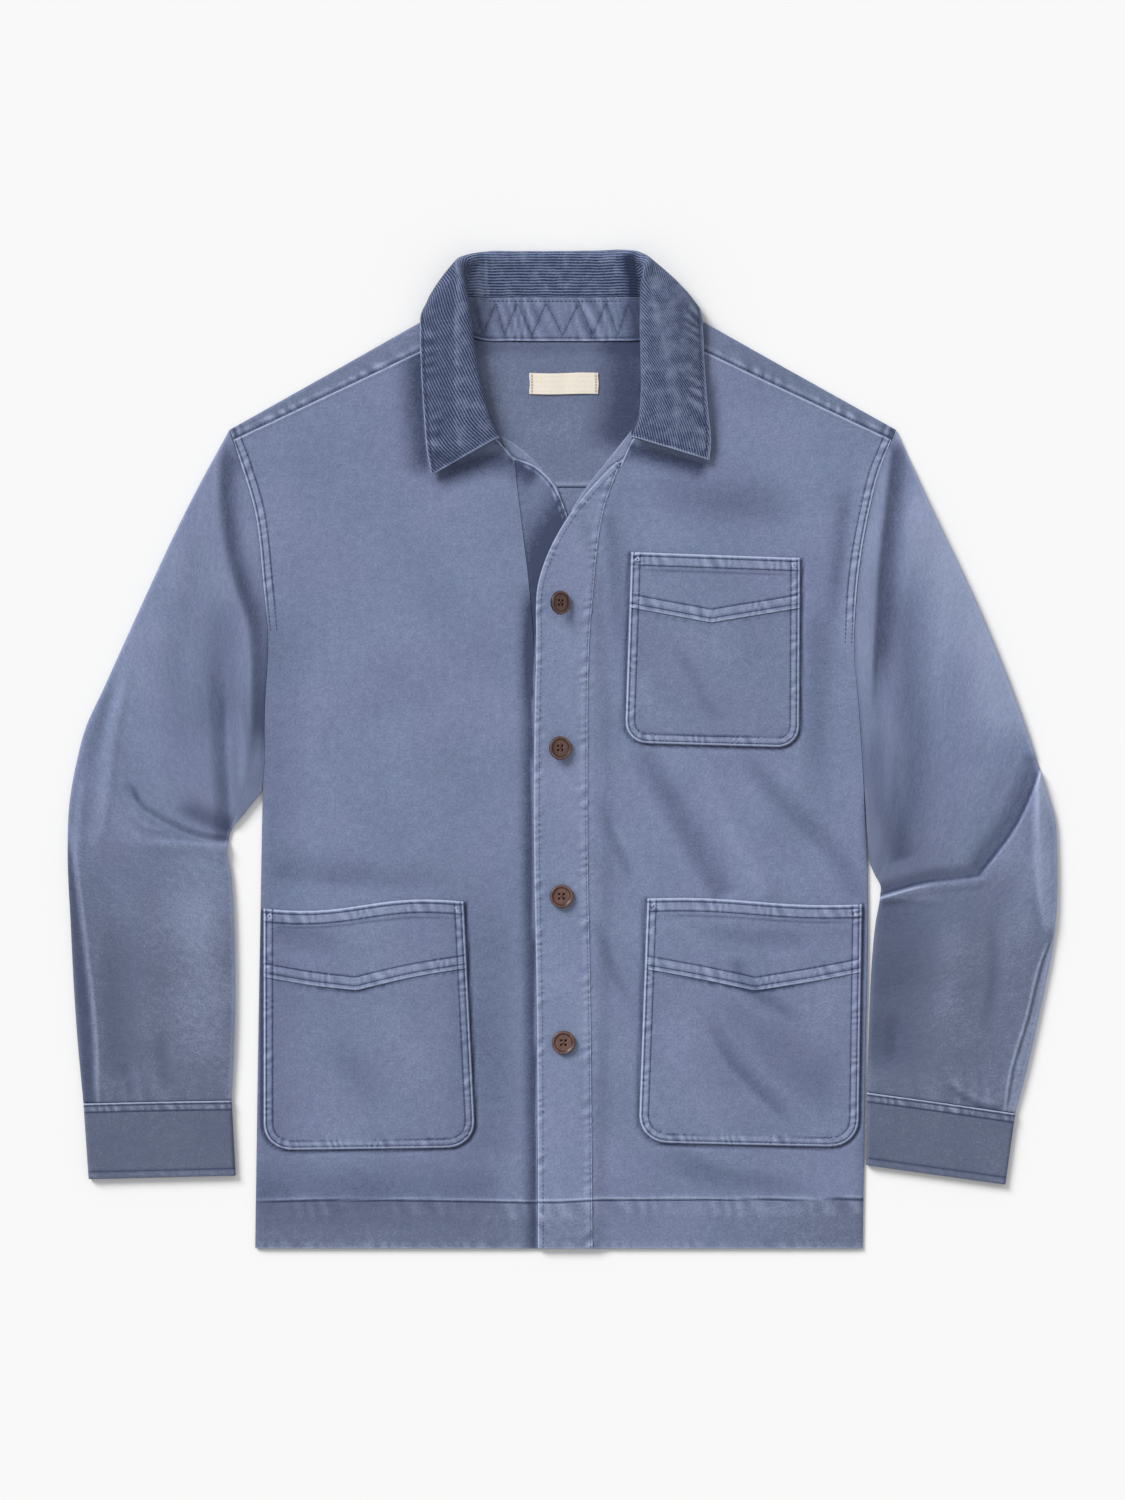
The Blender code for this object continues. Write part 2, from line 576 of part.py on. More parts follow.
def shoulder_columns(shoulder, foot_ends):
    """Yoke columns that run up the back, over the shoulder fold and down to the front seam."""
    fold_line = np.array(shoulder["fold"])
    seam_line = np.array(shoulder["seam"])
    run = fold_line[1] - fold_line[0]
    across = np.array([-run[1], run[0]]) / np.hypot(*run)
    across *= math.copysign(1.0, across[1])
    columns = []
    for share in SHOULDER_COLUMNS:
        fold = fold_line[0] * (1.0 - share) + fold_line[1] * share
        end = seam_line[0] * (1.0 - share) + seam_line[1] * share
        foot = np.array([foot_ends[0] * (1.0 - share) + foot_ends[1] * share, YOKE_SEAM_Y])
        centre = fold - across * SHOULDER_BEND
        back = foot + (centre - foot) * YOKE_ROWS[:, None]
        heights = neck_lift(back[:, 0], back[:, 1])
        low, high = heights[-1], float(front_face(*end[:, None])[0])
        column = list(np.column_stack([back, heights]))
        for angle in SHOULDER_ARC:
            spot = centre + across * SHOULDER_BEND * math.cos(angle)
            column.append([*spot, (low + high) / 2.0 + (high - low) / 2.0 * math.sin(angle)])
        for t in (0.5, 1.0):
            column.append([*(centre + (end - centre) * t), high])
        columns.append(column)
    return columns


def neck_columns(side, flap_rows):
    """Yoke columns that end on the back of the neck seam, with nothing beyond it."""
    ends = curve_through(BACK_NECK, np.linspace(0.0, 1.0, len(NECK_FEET)))[1:]
    columns = []
    for foot_x, end in zip(NECK_FEET[1:], ends):
        foot = np.array([foot_x * side, YOKE_SEAM_Y])
        back = foot + (np.array([end[0] * side, end[1]]) - foot) * YOKE_ROWS[:, None]
        heights = neck_lift(back[:, 0], back[:, 1])
        column = np.column_stack([back, heights])
        columns.append(list(np.vstack([column, np.full((flap_rows, 3), np.nan)])))
    return columns


def build_yoke(finish, collection):
    """Add the yoke: the upper back with a flap over each shoulder, cut out at the neck."""
    left_foot = outline_x(LEFT_ARMHOLE, YOKE_SEAM_Y) + SEAM_GAP
    right_foot = outline_x(RIGHT_ARMHOLE, YOKE_SEAM_Y) - SEAM_GAP
    left = shoulder_columns(LEFT_SHOULDER, (left_foot, -NECK_FEET[0]))
    right = shoulder_columns(RIGHT_SHOULDER, (right_foot, NECK_FEET[0]))
    flap_rows = len(left[0]) - len(YOKE_ROWS)
    left += neck_columns(-1.0, flap_rows)
    right += neck_columns(1.0, flap_rows)
    grid = np.array(left + right[-2::-1]).transpose(1, 0, 2)
    sheet("yoke", grid, TWILL, finish, collection, outward=True)


def flat_ring(width, height, top_shares, bottom_shares):
    """Places across and heights round a tube pressed flat, from one fold to the other and back."""
    bend = height / 2.0 / width
    arc = np.linspace(-math.pi / 2.0, math.pi / 2.0, 5)
    rim_place = bend * (1.0 - np.cos(arc))
    rim_height = height / 2.0 * (1.0 + np.sin(arc))
    top = bend + (1.0 - 2.0 * bend) * np.asarray(top_shares)
    bottom = bend + (1.0 - 2.0 * bend) * np.asarray(bottom_shares)[::-1]
    places = np.concatenate([rim_place, top, 1.0 - rim_place[::-1], bottom, rim_place[:1]])
    heights = np.concatenate([
        rim_height, np.full(len(top), height), rim_height[::-1], np.zeros(len(bottom) + 1),
    ])
    return places, heights


def build_sleeve(name, cut, armhole, finish, collection, flip):
    """Add one sleeve: a tube pressed flat, from the armhole to the cuff seam."""
    outward = math.copysign(1.0, cut.outer[0][0])
    outer = curve_through(cut.outer, SLEEVE_ROWS)
    bent = np.interp(SLEEVE_ROWS, (0.0, cut.elbow_outer, 1.0), (0.0, cut.elbow_inner, 1.0))
    inner = curve_through(cut.inner, bent)
    hole = np.array(armhole[::-1] + (cut.inner[0],), float)
    hole[:, 0] += outward * SEAM_GAP
    hole[0], hole[-1] = outer[0], inner[0]

    rings = []
    for k, start, end in zip(SLEEVE_ROWS, outer, inner):
        width = np.linalg.norm(end - start)
        places, heights = flat_ring(width, SLEEVE_EDGE_HEIGHT, SLEEVE_TOP, SLEEVE_BOTTOM)
        share = places[:, None]
        across = start * (1.0 - share) + end * share
        hole_bow = curve_through(hole, places) - (hole[0] * (1.0 - share) + hole[-1] * share)
        elbow = 1.0 - ease(abs(k - cut.elbow_outer) / ELBOW_REACH)
        sag = np.array(cut.elbow_sag) * 4.0 * share * (1.0 - share) * elbow
        rings.append(np.column_stack([across + hole_bow * (1.0 - k) ** 2 + sag, heights]))
    grid = np.array(rings)
    raised = SLEEVE_LEVEL + fold_height(grid[..., 0], grid[..., 1], cut.folds)
    grid[..., 2] *= not_below(raised, SLEEVE_LOWEST, SLEEVE_BLEND) / SLEEVE_EDGE_HEIGHT
    sheet(name, grid, TWILL, finish, collection, wrap=True, flip=flip)


def build_cuff(name, corners, finish, collection, flip):
    """Add one cuff: a short double band pressed flat below its sleeve."""
    seam_outer, seam_inner, end_inner, end_outer = np.array(corners, float)
    rings = []
    for t in CUFF_ROWS:
        start = seam_outer + (end_outer - seam_outer) * t
        end = seam_inner + (end_inner - seam_inner) * t
        places, heights = flat_ring(np.linalg.norm(end - start), CUFF_HEIGHT, CUFF_TOP, CUFF_BOTTOM)
        rings.append(np.column_stack([start + (end - start) * places[:, None], heights]))
    grid = np.array(rings)
    grid[0, :, 1] -= SEAM_GAP
    sheet(name, grid, CUFF_WALL, finish, collection, wrap=True, flip=flip)


def pocket_grid(pocket, shares, depths_from, depths_to, face, raise_by):
    """Points of a pocket piece between two lines across it, both as shares of its height."""
    top_left, top_right = np.array(pocket.top_left), np.array(pocket.top_right)
    bottom_left, bottom_right = np.array(pocket.bottom_left), np.array(pocket.bottom_right)
    height = (np.linalg.norm(top_left - bottom_left) + np.linalg.norm(top_right - bottom_right)) / 2.0
    width = np.linalg.norm(top_right - top_left)
    points = np.zeros((len(shares), len(depths_from), 2))
    for row, share in enumerate(shares):
        for column, place in enumerate(np.linspace(0.0, 1.0, len(depths_from))):
            down = depths_from[column] * (1.0 - share) + depths_to[column] * share
            rise = pocket.radius - np.clip((1.0 - down) * height, 0.0, pocket.radius)
            inset = (pocket.radius - math.sqrt(pocket.radius**2 - rise**2)) / width
            across = inset + (1.0 - 2.0 * inset) * place
            bow = pocket.top_bow * math.sin(2.0 * math.pi * place) * (1.0 - down)
            top = top_left * (1.0 - across) + top_right * across + (0.0, bow)
            bottom = bottom_left * (1.0 - across) + bottom_right * across
            points[row, column] = top * (1.0 - down) + bottom * down
    heights = face(points[..., 0], points[..., 1]) + raise_by
    return np.dstack([points, heights])


def build_pocket(pocket, face, finish, collection):
    """Add a patch pocket: its pointed top band and the body below it."""
    places = np.linspace(0.0, 1.0, POCKET_COLUMNS)
    height = np.linalg.norm(np.subtract(pocket.top_left, pocket.bottom_left))
    point = np.interp(places, (0.0, pocket.point_place, 1.0),
                      (pocket.band_left, pocket.band_point, pocket.band_right)) / height
    gap = SEAM_GAP / height
    band = pocket_grid(pocket, POCKET_BAND_ROWS, np.zeros_like(point), point - gap, face,
                       LAYER_GAP + BAND_WALL)
    sheet(pocket.name + "_band", band, BAND_WALL, finish, collection, flip=True)
    body = pocket_grid(pocket, POCKET_BODY_ROWS, point, np.ones_like(point), face, LAYER_GAP + TWILL)
    sheet(pocket.name + "_body", body, TWILL, finish, collection, flip=True)


def collar_sections(count):
    """Collar table rows, smoothly filled in to the given count of sections."""
    stations = LEFT_STATIONS + (MIDDLE_STATION,) + RIGHT_STATIONS
    rows = [
        (s.heading, s.nose, s.radius, *s.neck, *s.seam, *s.roll, *s.edge, s.bulge_out, s.bulge_up)
        for s in stations
    ]
    middles = np.array([s.roll for s in stations])
    steps = np.linalg.norm(np.diff(middles, axis=0), axis=1) + STATION_SPREAD
    knots = np.concatenate([[0.0], np.cumsum(steps)])
    return smooth_rows(knots, rows, np.linspace(0.0, knots[-1], count))


def collar_line(section):
    """Points across one collar section, from the stand seam round the roll to the free edge."""
    heading, nose, radius = math.radians(section[0]), math.radians(section[1]), section[2]
    seam, roll, edge = section[6:9], section[9:12], section[12:15]
    out = np.array([math.cos(heading), math.sin(heading), 0.0])
    up = np.array([0.0, 0.0, 1.0])
    tip = -math.cos(nose) * out + math.sin(nose) * up
    fall_side = math.sin(nose) * out + math.cos(nose) * up
    before = roll - ROLL_LENGTH * radius * tip - radius * fall_side
    after = roll - ROLL_LENGTH * radius * tip + radius * fall_side
    line = [seam + (before - seam) * t for t in INNER_ROWS]
    for angle in ROLL_ARC:
        bend = (math.cos(angle) - 1.0) * ROLL_LENGTH * radius * tip
        line.append(roll + bend + math.sin(angle) * radius * fall_side)
    for t in FALL_ROWS:
        bulge = 4.0 * t * (1.0 - t) * (section[15] * out + section[16] * up)
        line.append(after + (edge - after) * t + bulge)
    line = np.array(line)
    line[:, 2] = not_below(line[:, 2], 0.0, FLOOR_BLEND)
    return line


def build_collar(finish, collection):
    """Add the collar: its inner strip, the roll and the fall that turns down outside."""
    lines = [collar_line(section) for section in collar_sections(COLLAR_SECTIONS)]
    grid = np.array(lines).transpose(1, 0, 2)
    sheet("collar", grid, COLLAR_WALL, finish, collection)


def build_stand(finish, collection):
    """Add the collar stand between the neck seam and the collar."""
    sections = collar_sections(COLLAR_SECTIONS)
    neck, seam = sections[:, 3:6], sections[:, 6:9]
    run = seam - neck
    length = np.linalg.norm(run, axis=1)[:, None]
    sideways = 1.0 - sections[:, 1:2] / 180.0
    start = neck + run / length * SEAM_GAP
    end = seam - run / length * (SEAM_GAP + STAND_SIDE_GAP * sideways)
    grid = np.array([start + (end - start) * t for t in STAND_ROWS])
    sheet("collar_stand", grid, STAND_WALL, finish, collection)


def build_label(finish, collection):
    """Add the blank neck label on the inside of the yoke."""
    across = LABEL_COLUMNS * LABEL_SIZE[0] + LABEL_CENTRE[0]
    along = LABEL_ROWS * LABEL_SIZE[1] + LABEL_CENTRE[1]
    x, y = np.meshgrid(across, along)
    grid = np.dstack([x, y, TWILL + SEAM_GAP + neck_lift(x, y)])
    sheet("neck_label", grid, LABEL_WALL, finish, collection, outward=True)


def build_button(name, place, finish, collection):
    """Add one button: a dished disc turned about its axis, lying on the overlapping band."""
    angles = np.linspace(0.0, 2.0 * math.pi, BUTTON_SEAT_POINTS)
    rim = np.concatenate([np.cos(angles) * BUTTON_RADIUS, [0.0]]) + place[0]
    rim_y = np.concatenate([np.sin(angles) * BUTTON_RADIUS, [0.0]]) + place[1]
    seat = float(overlap_face(rim, rim_y).max()) + SEAM_GAP
    profile = (
        (0.0, 0.0),
        (BUTTON_RADIUS - BUTTON_FOOT, 0.0),
        (BUTTON_RADIUS, BUTTON_THICKNESS * BUTTON_WAIST),
        (BUTTON_RADIUS - BUTTON_CROWN, BUTTON_THICKNESS),
        (BUTTON_RADIUS - BUTTON_RIM, BUTTON_THICKNESS),
        (BUTTON_RADIUS - BUTTON_RIM - BUTTON_CROWN, BUTTON_THICKNESS - BUTTON_DISH),
        (0.0, BUTTON_THICKNESS - BUTTON_DISH),
    )
    outline = bmesh.new()
    corners = [outline.verts.new((radius * MM, 0.0, height * MM)) for radius, height in profile]
    for start, end in zip(corners[:-1], corners[1:]):
        outline.edges.new((start, end))
    mesh = bpy.data.meshes.new(name)
    outline.to_mesh(mesh)
    outline.free()
    mesh.materials.append(finish)
    button = bpy.data.objects.new(name, mesh)
    button.location = (place[0] * MM, place[1] * MM, seat * MM)
    collection.objects.link(button)
    turn = button.modifiers.new("turn", "SCREW")
    turn.axis = "Z"
    turn.angle = 2.0 * math.pi
    turn.steps = BUTTON_STEPS
    turn.render_steps = BUTTON_STEPS
    turn.use_merge_vertices = True
    turn.merge_threshold = MERGE_DISTANCE
    turn.use_normal_calculate = True


def main():
    """Build every piece of the jacket."""
    remove_startup_objects()
    jacket = bpy.data.collections.new("chore_jacket")
    bpy.context.scene.collection.children.link(jacket)

    def twill(name):
        return material(name + "_twill", TWILL_BLUE, 0.9)

    build_back(twill("back"), jacket)
    build_yoke(twill("yoke"), jacket)
    build_front("front_underlap", LEFT_SIDE, LEFT_ARMHOLE, UNDERLAP_SEAM, UNDERLAP_NECK, LEFT_SHOULDER,
                front_face, twill("front_underlap"), jacket, flip=False)
    build_front("front_overlap", RIGHT_SIDE, RIGHT_ARMHOLE, OVERLAP_SEAM, OVERLAP_NECK, RIGHT_SHOULDER,
                overlap_face, twill("front_overlap"), jacket, flip=True)
    build_band("band_underlap", UNDERLAP_EDGE, UNDERLAP_SEAM, front_face, twill("band_underlap"), jacket,
               flip=True)
    build_band("band_overlap", OVERLAP_EDGE, OVERLAP_SEAM, overlap_face, twill("band_overlap"), jacket,
               flip=False)
    build_sleeve("sleeve_left", LEFT_SLEEVE, LEFT_ARMHOLE, twill("sleeve_left"), jacket, flip=True)
    build_sleeve("sleeve_right", RIGHT_SLEEVE, RIGHT_ARMHOLE, twill("sleeve_right"), jacket, flip=False)
    build_cuff("cuff_left", LEFT_CUFF, twill("cuff_left"), jacket, flip=True)
    build_cuff("cuff_right", RIGHT_CUFF, twill("cuff_right"), jacket, flip=False)
    for pocket in POCKETS:
        face = overlap_face if pocket.top_left[0] > 0.0 else front_face
        build_pocket(pocket, face, twill(pocket.name), jacket)
    build_collar(material("collar_corduroy", CORDUROY_BLUE, 0.95), jacket)
    build_stand(twill("collar_stand"), jacket)
    build_label(material("neck_label_tape", LABEL_CREAM, 0.85), jacket)
    for number, place in enumerate(BUTTONS, start=1):
        name = f"button_{number}"
        build_button(name, place, material(name + "_horn", BUTTON_BROWN, 0.4), jacket)


main()
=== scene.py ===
"""Looks of the chore jacket laid flat: twill panels, corduroy collar, stitches, buttons and studio.

Sizes are in millimetres in the frame of the solids and turn into metres where a mesh is made. X runs
across the jacket, Y from the hem to the collar and Z up from the floor. Left and right are the
viewer's. Each panel is a grid of points, worked out as whole arrays from the cut's outlines, a table
of folds and the sewn lines on it, and every point also carries how worn it is, together with the
light and shade painted into its colour, and how deeply dyed it is.
"""

import logging
import math
from dataclasses import dataclass, field
from enum import Enum
from typing import Callable, NamedTuple, Sequence

import bmesh
import bpy
import numpy as np
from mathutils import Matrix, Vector


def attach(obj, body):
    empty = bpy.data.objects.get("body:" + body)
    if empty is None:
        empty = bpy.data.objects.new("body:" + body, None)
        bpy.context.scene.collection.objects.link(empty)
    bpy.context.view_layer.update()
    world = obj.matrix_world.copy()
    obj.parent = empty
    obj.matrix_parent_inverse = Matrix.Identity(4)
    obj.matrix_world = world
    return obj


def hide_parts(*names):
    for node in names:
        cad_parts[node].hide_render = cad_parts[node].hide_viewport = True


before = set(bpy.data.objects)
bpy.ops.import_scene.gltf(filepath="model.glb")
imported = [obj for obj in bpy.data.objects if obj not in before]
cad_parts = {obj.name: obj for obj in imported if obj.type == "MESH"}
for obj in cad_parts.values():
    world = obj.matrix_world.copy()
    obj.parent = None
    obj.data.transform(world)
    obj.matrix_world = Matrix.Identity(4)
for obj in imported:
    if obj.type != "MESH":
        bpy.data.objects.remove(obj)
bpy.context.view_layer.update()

log = logging.getLogger("chore_jacket")

Array = np.ndarray
Point = tuple[float, float]
Surface = Callable[[Array, Array], Array]
Material = bpy.types.Material
Tree = bpy.types.NodeTree
Socket = bpy.types.NodeSocket

MM = 0.001
BODY = "root"
UP = (0, 0, 1)

# Counts of points along curves and of columns across the yoke
CURVE_POINTS = 400
OUTLINE_POINTS = 200
SEAM_POINTS = 300
NECK_POINTS = 80
YOKE_SHOULDER_COLUMNS = 64
YOKE_NECK_COLUMNS = 34

# Cloth walls and the room between pieces
TWILL_WALL = 1.1
BACK_WALL = 1.2
FACING_WALL = 0.8
POCKET_WALL = 0.5
COLLAR_WALL = 2.2
STAND_WALL = 1.5
LABEL_WALL = 0.5
SEAM_GAP = 0.3
ARMHOLE_GAP = 0.06
ARMHOLE_GAP_LEVELS = (-30, 60)

# Waves along a seam: their slant, and how their phase and height drift
WAVE_SLANT = 0.35
PHASE_DRIFT = 2.2
PHASE_PERIODS = 4.3
HEIGHT_PERIODS = 6.1
WAVE_HEIGHT = 0.58
WAVE_HEIGHT_DRIFT = 0.42

# Heights of the outer face of the front cloth over the floor
FRONT_LEVEL = 3
FRONT_LOWEST = 2.5
FRONT_BLEND = 0.3
OVERLAP_RISE = 2.1
OVERLAP_REACH = 18
OVERLAP_FADE = 14
SIDE_FOLD_WIDTH = 8
SIDE_EDGE_HEIGHT = 1.5
SIDE_FADE = 30
BACK_INSET = 6
NECK_LIFT = 2.6
NECK_LIFT_START = 258
NECK_LIFT_END = 316
NECK_LIFT_REACH = 176
NECK_LIFT_SIDE = 58
SHOULDER_BEND = 2.4

# Dye of the hem across the fronts, and the painted shade on the collar's left fall and painted light on its
# right one
HEM_TONE_PLACES = (-60, 40, 110, 200)
HEM_TONES = (0.65, 0.15, 0.15, 0.65)
FALL_LIGHT_AND_SHADE_PLACES = (-76, -60, 60, 76)
FALL_LIGHT_AND_SHADE = (-0.42, -0.05, 0.05, 0.12)

# Sleeves and cuffs
SLEEVE_EDGE_HEIGHT = 6.2
SLEEVE_LOWEST = 2.6
SLEEVE_LEVEL = 5
SLEEVE_BLEND = 0.5
SLEEVE_SEAM_HEIGHT = 3.1
SLEEVE_LENGTH = 580
CUFF_HEIGHT = 5.2
CUFF_SEAM_DROP = 0.7
ELBOW_REACH = 0.34
ELBOW_CLOSENESS = 0.08  # draws the rows together at the bend of the arm
# Painted light along each sleeve's right-hand fold, where the cloth turns away from the light
EDGE_PAINTED_LIGHT = 0.9
EDGE_PAINTED_LIGHT_REACH = 4

# Levels along Y
HEM_Y = -398.8
HEM_DEPTH = 37
HEM_TOP = HEM_Y + HEM_DEPTH
YOKE_SEAM_Y = 209.2
UNDERARM_Y = -28

# Placket bands, pocket bands, the collar stand, and how far pockets rise over the front
BAND_WIDTH = 44
BAND_DEPTH = 48
STAND_HEIGHT = 34
STAND_FACE = 4.7
POCKET_RISE = 0.55
POCKET_SWELL = 1.05

# Outlines of the cut as it lies, from the hem upwards
LEFT_SIDE = ((-245.6, HEM_Y), (-243.4, -250), (-241, -110), (-239.4, UNDERARM_Y))
LEFT_ARMHOLE = (
    (-239.4, UNDERARM_Y), (-237.6, 34.8), (-235.2, 94), (-238.4, 128.4), (-246.4, 194),
    (-256.8, 228.4), (-265.8, 253.2),
)
RIGHT_SIDE = ((240.6, HEM_Y), (242.8, -250), (244.8, -104.4), (241.4, UNDERARM_Y))
RIGHT_ARMHOLE = (
    (241.4, UNDERARM_Y), (238.2, 22.8), (233.6, 84), (236.4, 134), (246.4, 194),
    (253.6, 222), (266.6, 253),
)
UNDERLAP_SEAM = ((-20, HEM_Y), (-20, 40), (-25, 120), (-32.5, 185), (-36, 214), (-37.5, 231))
UNDERLAP_NECK = ((-37.5, 231), (-49, 245), (-68, 264), (-86, 294), (-92, 328))
UNDERLAP_EDGE = ((19, HEM_Y), (19, 90), (12, 158), (3.2, 190), (-8, 214), (-24, 228), (-36.5, 232.4))
OVERLAP_EDGE = (
    (-19.2, HEM_Y), (-20, -211.6), (-22.4, -51.6), (-20.6, 80), (-18.4, 135.6), (-9.6, 160.4),
    (0.8, 179.6), (14.4, 198.8), (26.4, 212.4), (43.6, 230),
)
OVERLAP_SEAM = ((24.8, HEM_Y), (23.2, -211.6), (20.8, -38), (24.8, 119.6), (36, 199.6), (46.4, 226.8))
OVERLAP_NECK = ((46.4, 226.8), (56, 247), (72, 268), (87, 296), (92, 328))
LEFT_SHOULDER_FOLD = ((-265.8, 255.6), (-95, 351.6))
LEFT_SHOULDER_SEAM = ((-262.6, 247.4), (-92, 328))
RIGHT_SHOULDER_FOLD = ((267, 255.6), (95, 351.6))
RIGHT_SHOULDER_SEAM = ((263.4, 247.4), (92, 328))
BACK_NECK = ((93.8, 349.4), (88, 338), (72, 328.4), (44, 326), (0, 325.8))
NECK_FOOT = 101

# Distances of the close grid lines from an edge or a sewn line
HEM_ROWS = (0, 0.5, 1.2, 2.2, 4, 7, 10, 14, 18, 22, 26, 30, 33, 35, 36, 36.8, 37.6,
            38.4, 39.2, 40, 41, 42.4, 44.4)
EDGE_LINES = (0, 0.35, 0.8, 1.3, 1.9, 2.5, 3.1, 3.9, 4.9, 5.9, 6.7, 7.4, 8.1, 9.2, 10.8)
END_LINES = (0, 0.5, 1.2, 2.4)
SEAM_LINES = (0, 0.4, 0.9, 1.6, 3)
BAND_SEAM_LINES = (0, 0.4, 0.9, 1.6, 2.6)
YOKE_SEAM_LINES = (0, 0.5, 1.2, 2.4, 4)
STAND_FOOT_LINES = (0, 0.4, 0.9, 1.6, 2.4, 3.4)
UNDER_LINES = np.linspace(0.06, 0.94, 12)
COLLAR_END_LINES = (0, 0.5, 1.2, 2.2, 3.6, 5)
COLLAR_EDGE_LINES = (0, 0.4, 0.9, 1.6, 2.4, 3.4, 4.4, 5.4, 7)
BAND_TOP_LINES = (0, 0.35, 0.8, 1.4, 2, 2.6, 3.2, 3.8, 4.4, 5, 5.8, 6.6, 7.4, 8.2, 9, 9.8, 10.5,
                  11.2, 12.2, 13.2, 14, 14.8, 16)
BAND_FOOT_LINES = (0, 0.4, 0.9, 1.5, 2.2, 2.9, 3.6, 4.4, 6.4, 9, 9.9, 10.6, 11.3, 12.4)
POCKET_FOOT_LINES = (0, 0.15, 0.4, 0.8, 1.4, 2.2, 3.2, 4.4, 5.8, 7.2, 9, 11, 13, 15, 17, 19)
CUFF_TOP_LINES = (0, 0.35, 0.8, 1.3, 1.9, 2.5, 3.1, 4.4, 6.2, 7, 7.7, 8.4, 9.4, 11)
CUFF_END_LINES = (0, 0.4, 1, 2, 3.6, 5, 5.8, 7, 9)


class Held(Enum):
    """How a sheet of cloth is held."""

    LAID = "laid"
    FOLDED = "folded"


# ---------- curves and grids


def linear(colour: str) -> tuple[float, float, float, float]:
    """Turn an sRGB hex colour into linear light.

    Args:
        colour: six hex digits after a hash sign.

    Returns:
        Red, green, blue and an alpha of one.
    """
    parts = [int(colour[k:k + 2], 16) / 255 for k in (1, 3, 5)]
    light = [p / 12.92 if p <= 0.04045 else ((p + 0.055) / 1.055) ** 2.4 for p in parts]
    return (*light, 1)


def ease(value: Array) -> Array:
    """Rise smoothly from 0 to 1 as the value goes from 0 to 1: three squares less two cubes."""
    step = np.clip(value, 0, 1)
    return step * step * (3 - 2 * step)


def bell(distance: Array, reach: float | Array) -> Array:
    """Half a cosine wave: 1 on the line and 0 beyond its reach."""
    return 0.5 + 0.5 * np.cos(np.pi * np.clip(np.abs(distance) / reach, 0, 1))


def hump(distance: Array, reach: float | Array) -> Array:
    """A bell with a broad top, which is nearly 1 over the first third of its reach."""
    return ease(1.45 * (1 - np.abs(distance) / reach))


class Bump(NamedTuple):
    """One bell of a profile across an edge or a seam: its middle, its reach and its amount."""

    middle: float
    reach: float
    amount: float


def profile(distance: Array, *bumps: Bump) -> Array:
    """Sum of bells over a distance, each as high as its amount at its middle."""
    return sum((bump.amount * bell(distance - bump.middle, bump.reach) for bump in bumps), 0 * distance)


def not_below(value: Array, floor: float, blend: float) -> Array:
    """Keep values from going below a floor: a parabola joins the floor to the values above it.

    Args:
        value: the values.
        floor: the lowest that they may be.
        blend: half the width of the join.

    Returns:
        The values that are left.
    """
    over = np.asarray(value, float) - floor
    rounded = (over + blend) ** 2 / (4 * blend)
    return floor + np.where(np.abs(over) < blend, rounded, np.maximum(over, 0))


def smooth_rows(knots: Array, rows: Array, places: Array) -> Array:
    """Interpolate a table's rows with a cubic Hermite curve, whose slope at a knot is its neighbours' mean.

    Args:
        knots: where each row stands.
        rows: the table, a row for each knot.
        places: where rows are wanted.

    Returns:
        One row for each place.
    """
    knots, rows = np.asarray(knots, float), np.asarray(rows, float)
    gaps = np.diff(knots)[:, None]
    slopes = np.diff(rows, axis=0) / gaps
    inner = (slopes[1:] * gaps[:-1] + slopes[:-1] * gaps[1:]) / (gaps[1:] + gaps[:-1])
    tangents = np.vstack([slopes[:1], inner, slopes[-1:]])
    index = np.clip(np.searchsorted(knots, places, side="right") - 1, 0, len(knots) - 2)
    gap = gaps[index]
    t = ((np.asarray(places) - knots[index])[:, None]) / gap
    start = (2 * t**3 - 3 * t**2 + 1) * rows[index] + (t**3 - 2 * t**2 + t) * gap * tangents[index]
    end = (3 * t**2 - 2 * t**3) * rows[index + 1] + (t**3 - t**2) * gap * tangents[index + 1]
    return start + end


def lengths_along(points: Array) -> Array:
    """Distance from the first point to each point of a line."""
    return np.concatenate([[0], np.cumsum(np.linalg.norm(np.diff(points, axis=0), axis=1))])


def resample(line: Array, fractions: Array) -> Array:
    """Interpolate a line by its length.

    Args:
        line: its points.
        fractions: shares of its length.

    Returns:
        A point for each share.
    """
    lengths = lengths_along(line)
    wanted = np.asarray(fractions, float) * lengths[-1]
    return np.stack([np.interp(wanted, lengths, column) for column in line.T], axis=1)


def curve_through(points: Sequence[Point], fractions: Array) -> Array:
    """Interpolate a smooth curve through points by its length.

    Args:
        points: what the curve goes through.
        fractions: shares of its length.

    Returns:
        A point for each share.
    """
    points = np.asarray(points, float)
    knots = lengths_along(points)
    return resample(smooth_rows(knots, points, np.linspace(0, knots[-1], CURVE_POINTS)), fractions)


def even_curve(points: Sequence[Point], spacing: float) -> Array:
    """A smooth curve through the given points, with its points evenly spaced."""
    count = int(lengths_along(np.asarray(points, float))[-1] / spacing) + 2
    return curve_through(points, np.linspace(0, 1, count))


def shifted(line: Array, distance: float) -> Array:
    """Move a line sideways along its own normals.

    Args:
        line: its points.
        distance: how far, to the left of its direction where positive.

    Returns:
        The points moved.
    """
    run = np.gradient(line, axis=0)
    run /= np.linalg.norm(run, axis=1)[:, None]
    return line + distance * np.stack([-run[:, 1], run[:, 0]], axis=1)


def graded(length: float, start: Sequence[float], end: Sequence[float], step: float) -> Array:
    """Shares of a length with close lines at both ends and even ones between.

    Args:
        length: the whole length.
        start: distances of the close lines from the start, from 0 up.
        end: the same from the end.
        step: spacing between them.

    Returns:
        Shares from 0 to 1.
    """
    low, high = start[-1], length - end[-1]
    middle = np.linspace(low, high, max(2, round((high - low) / step) + 1))[1:-1]
    return np.concatenate([start, middle, length - np.asarray(end, float)[::-1]]) / length


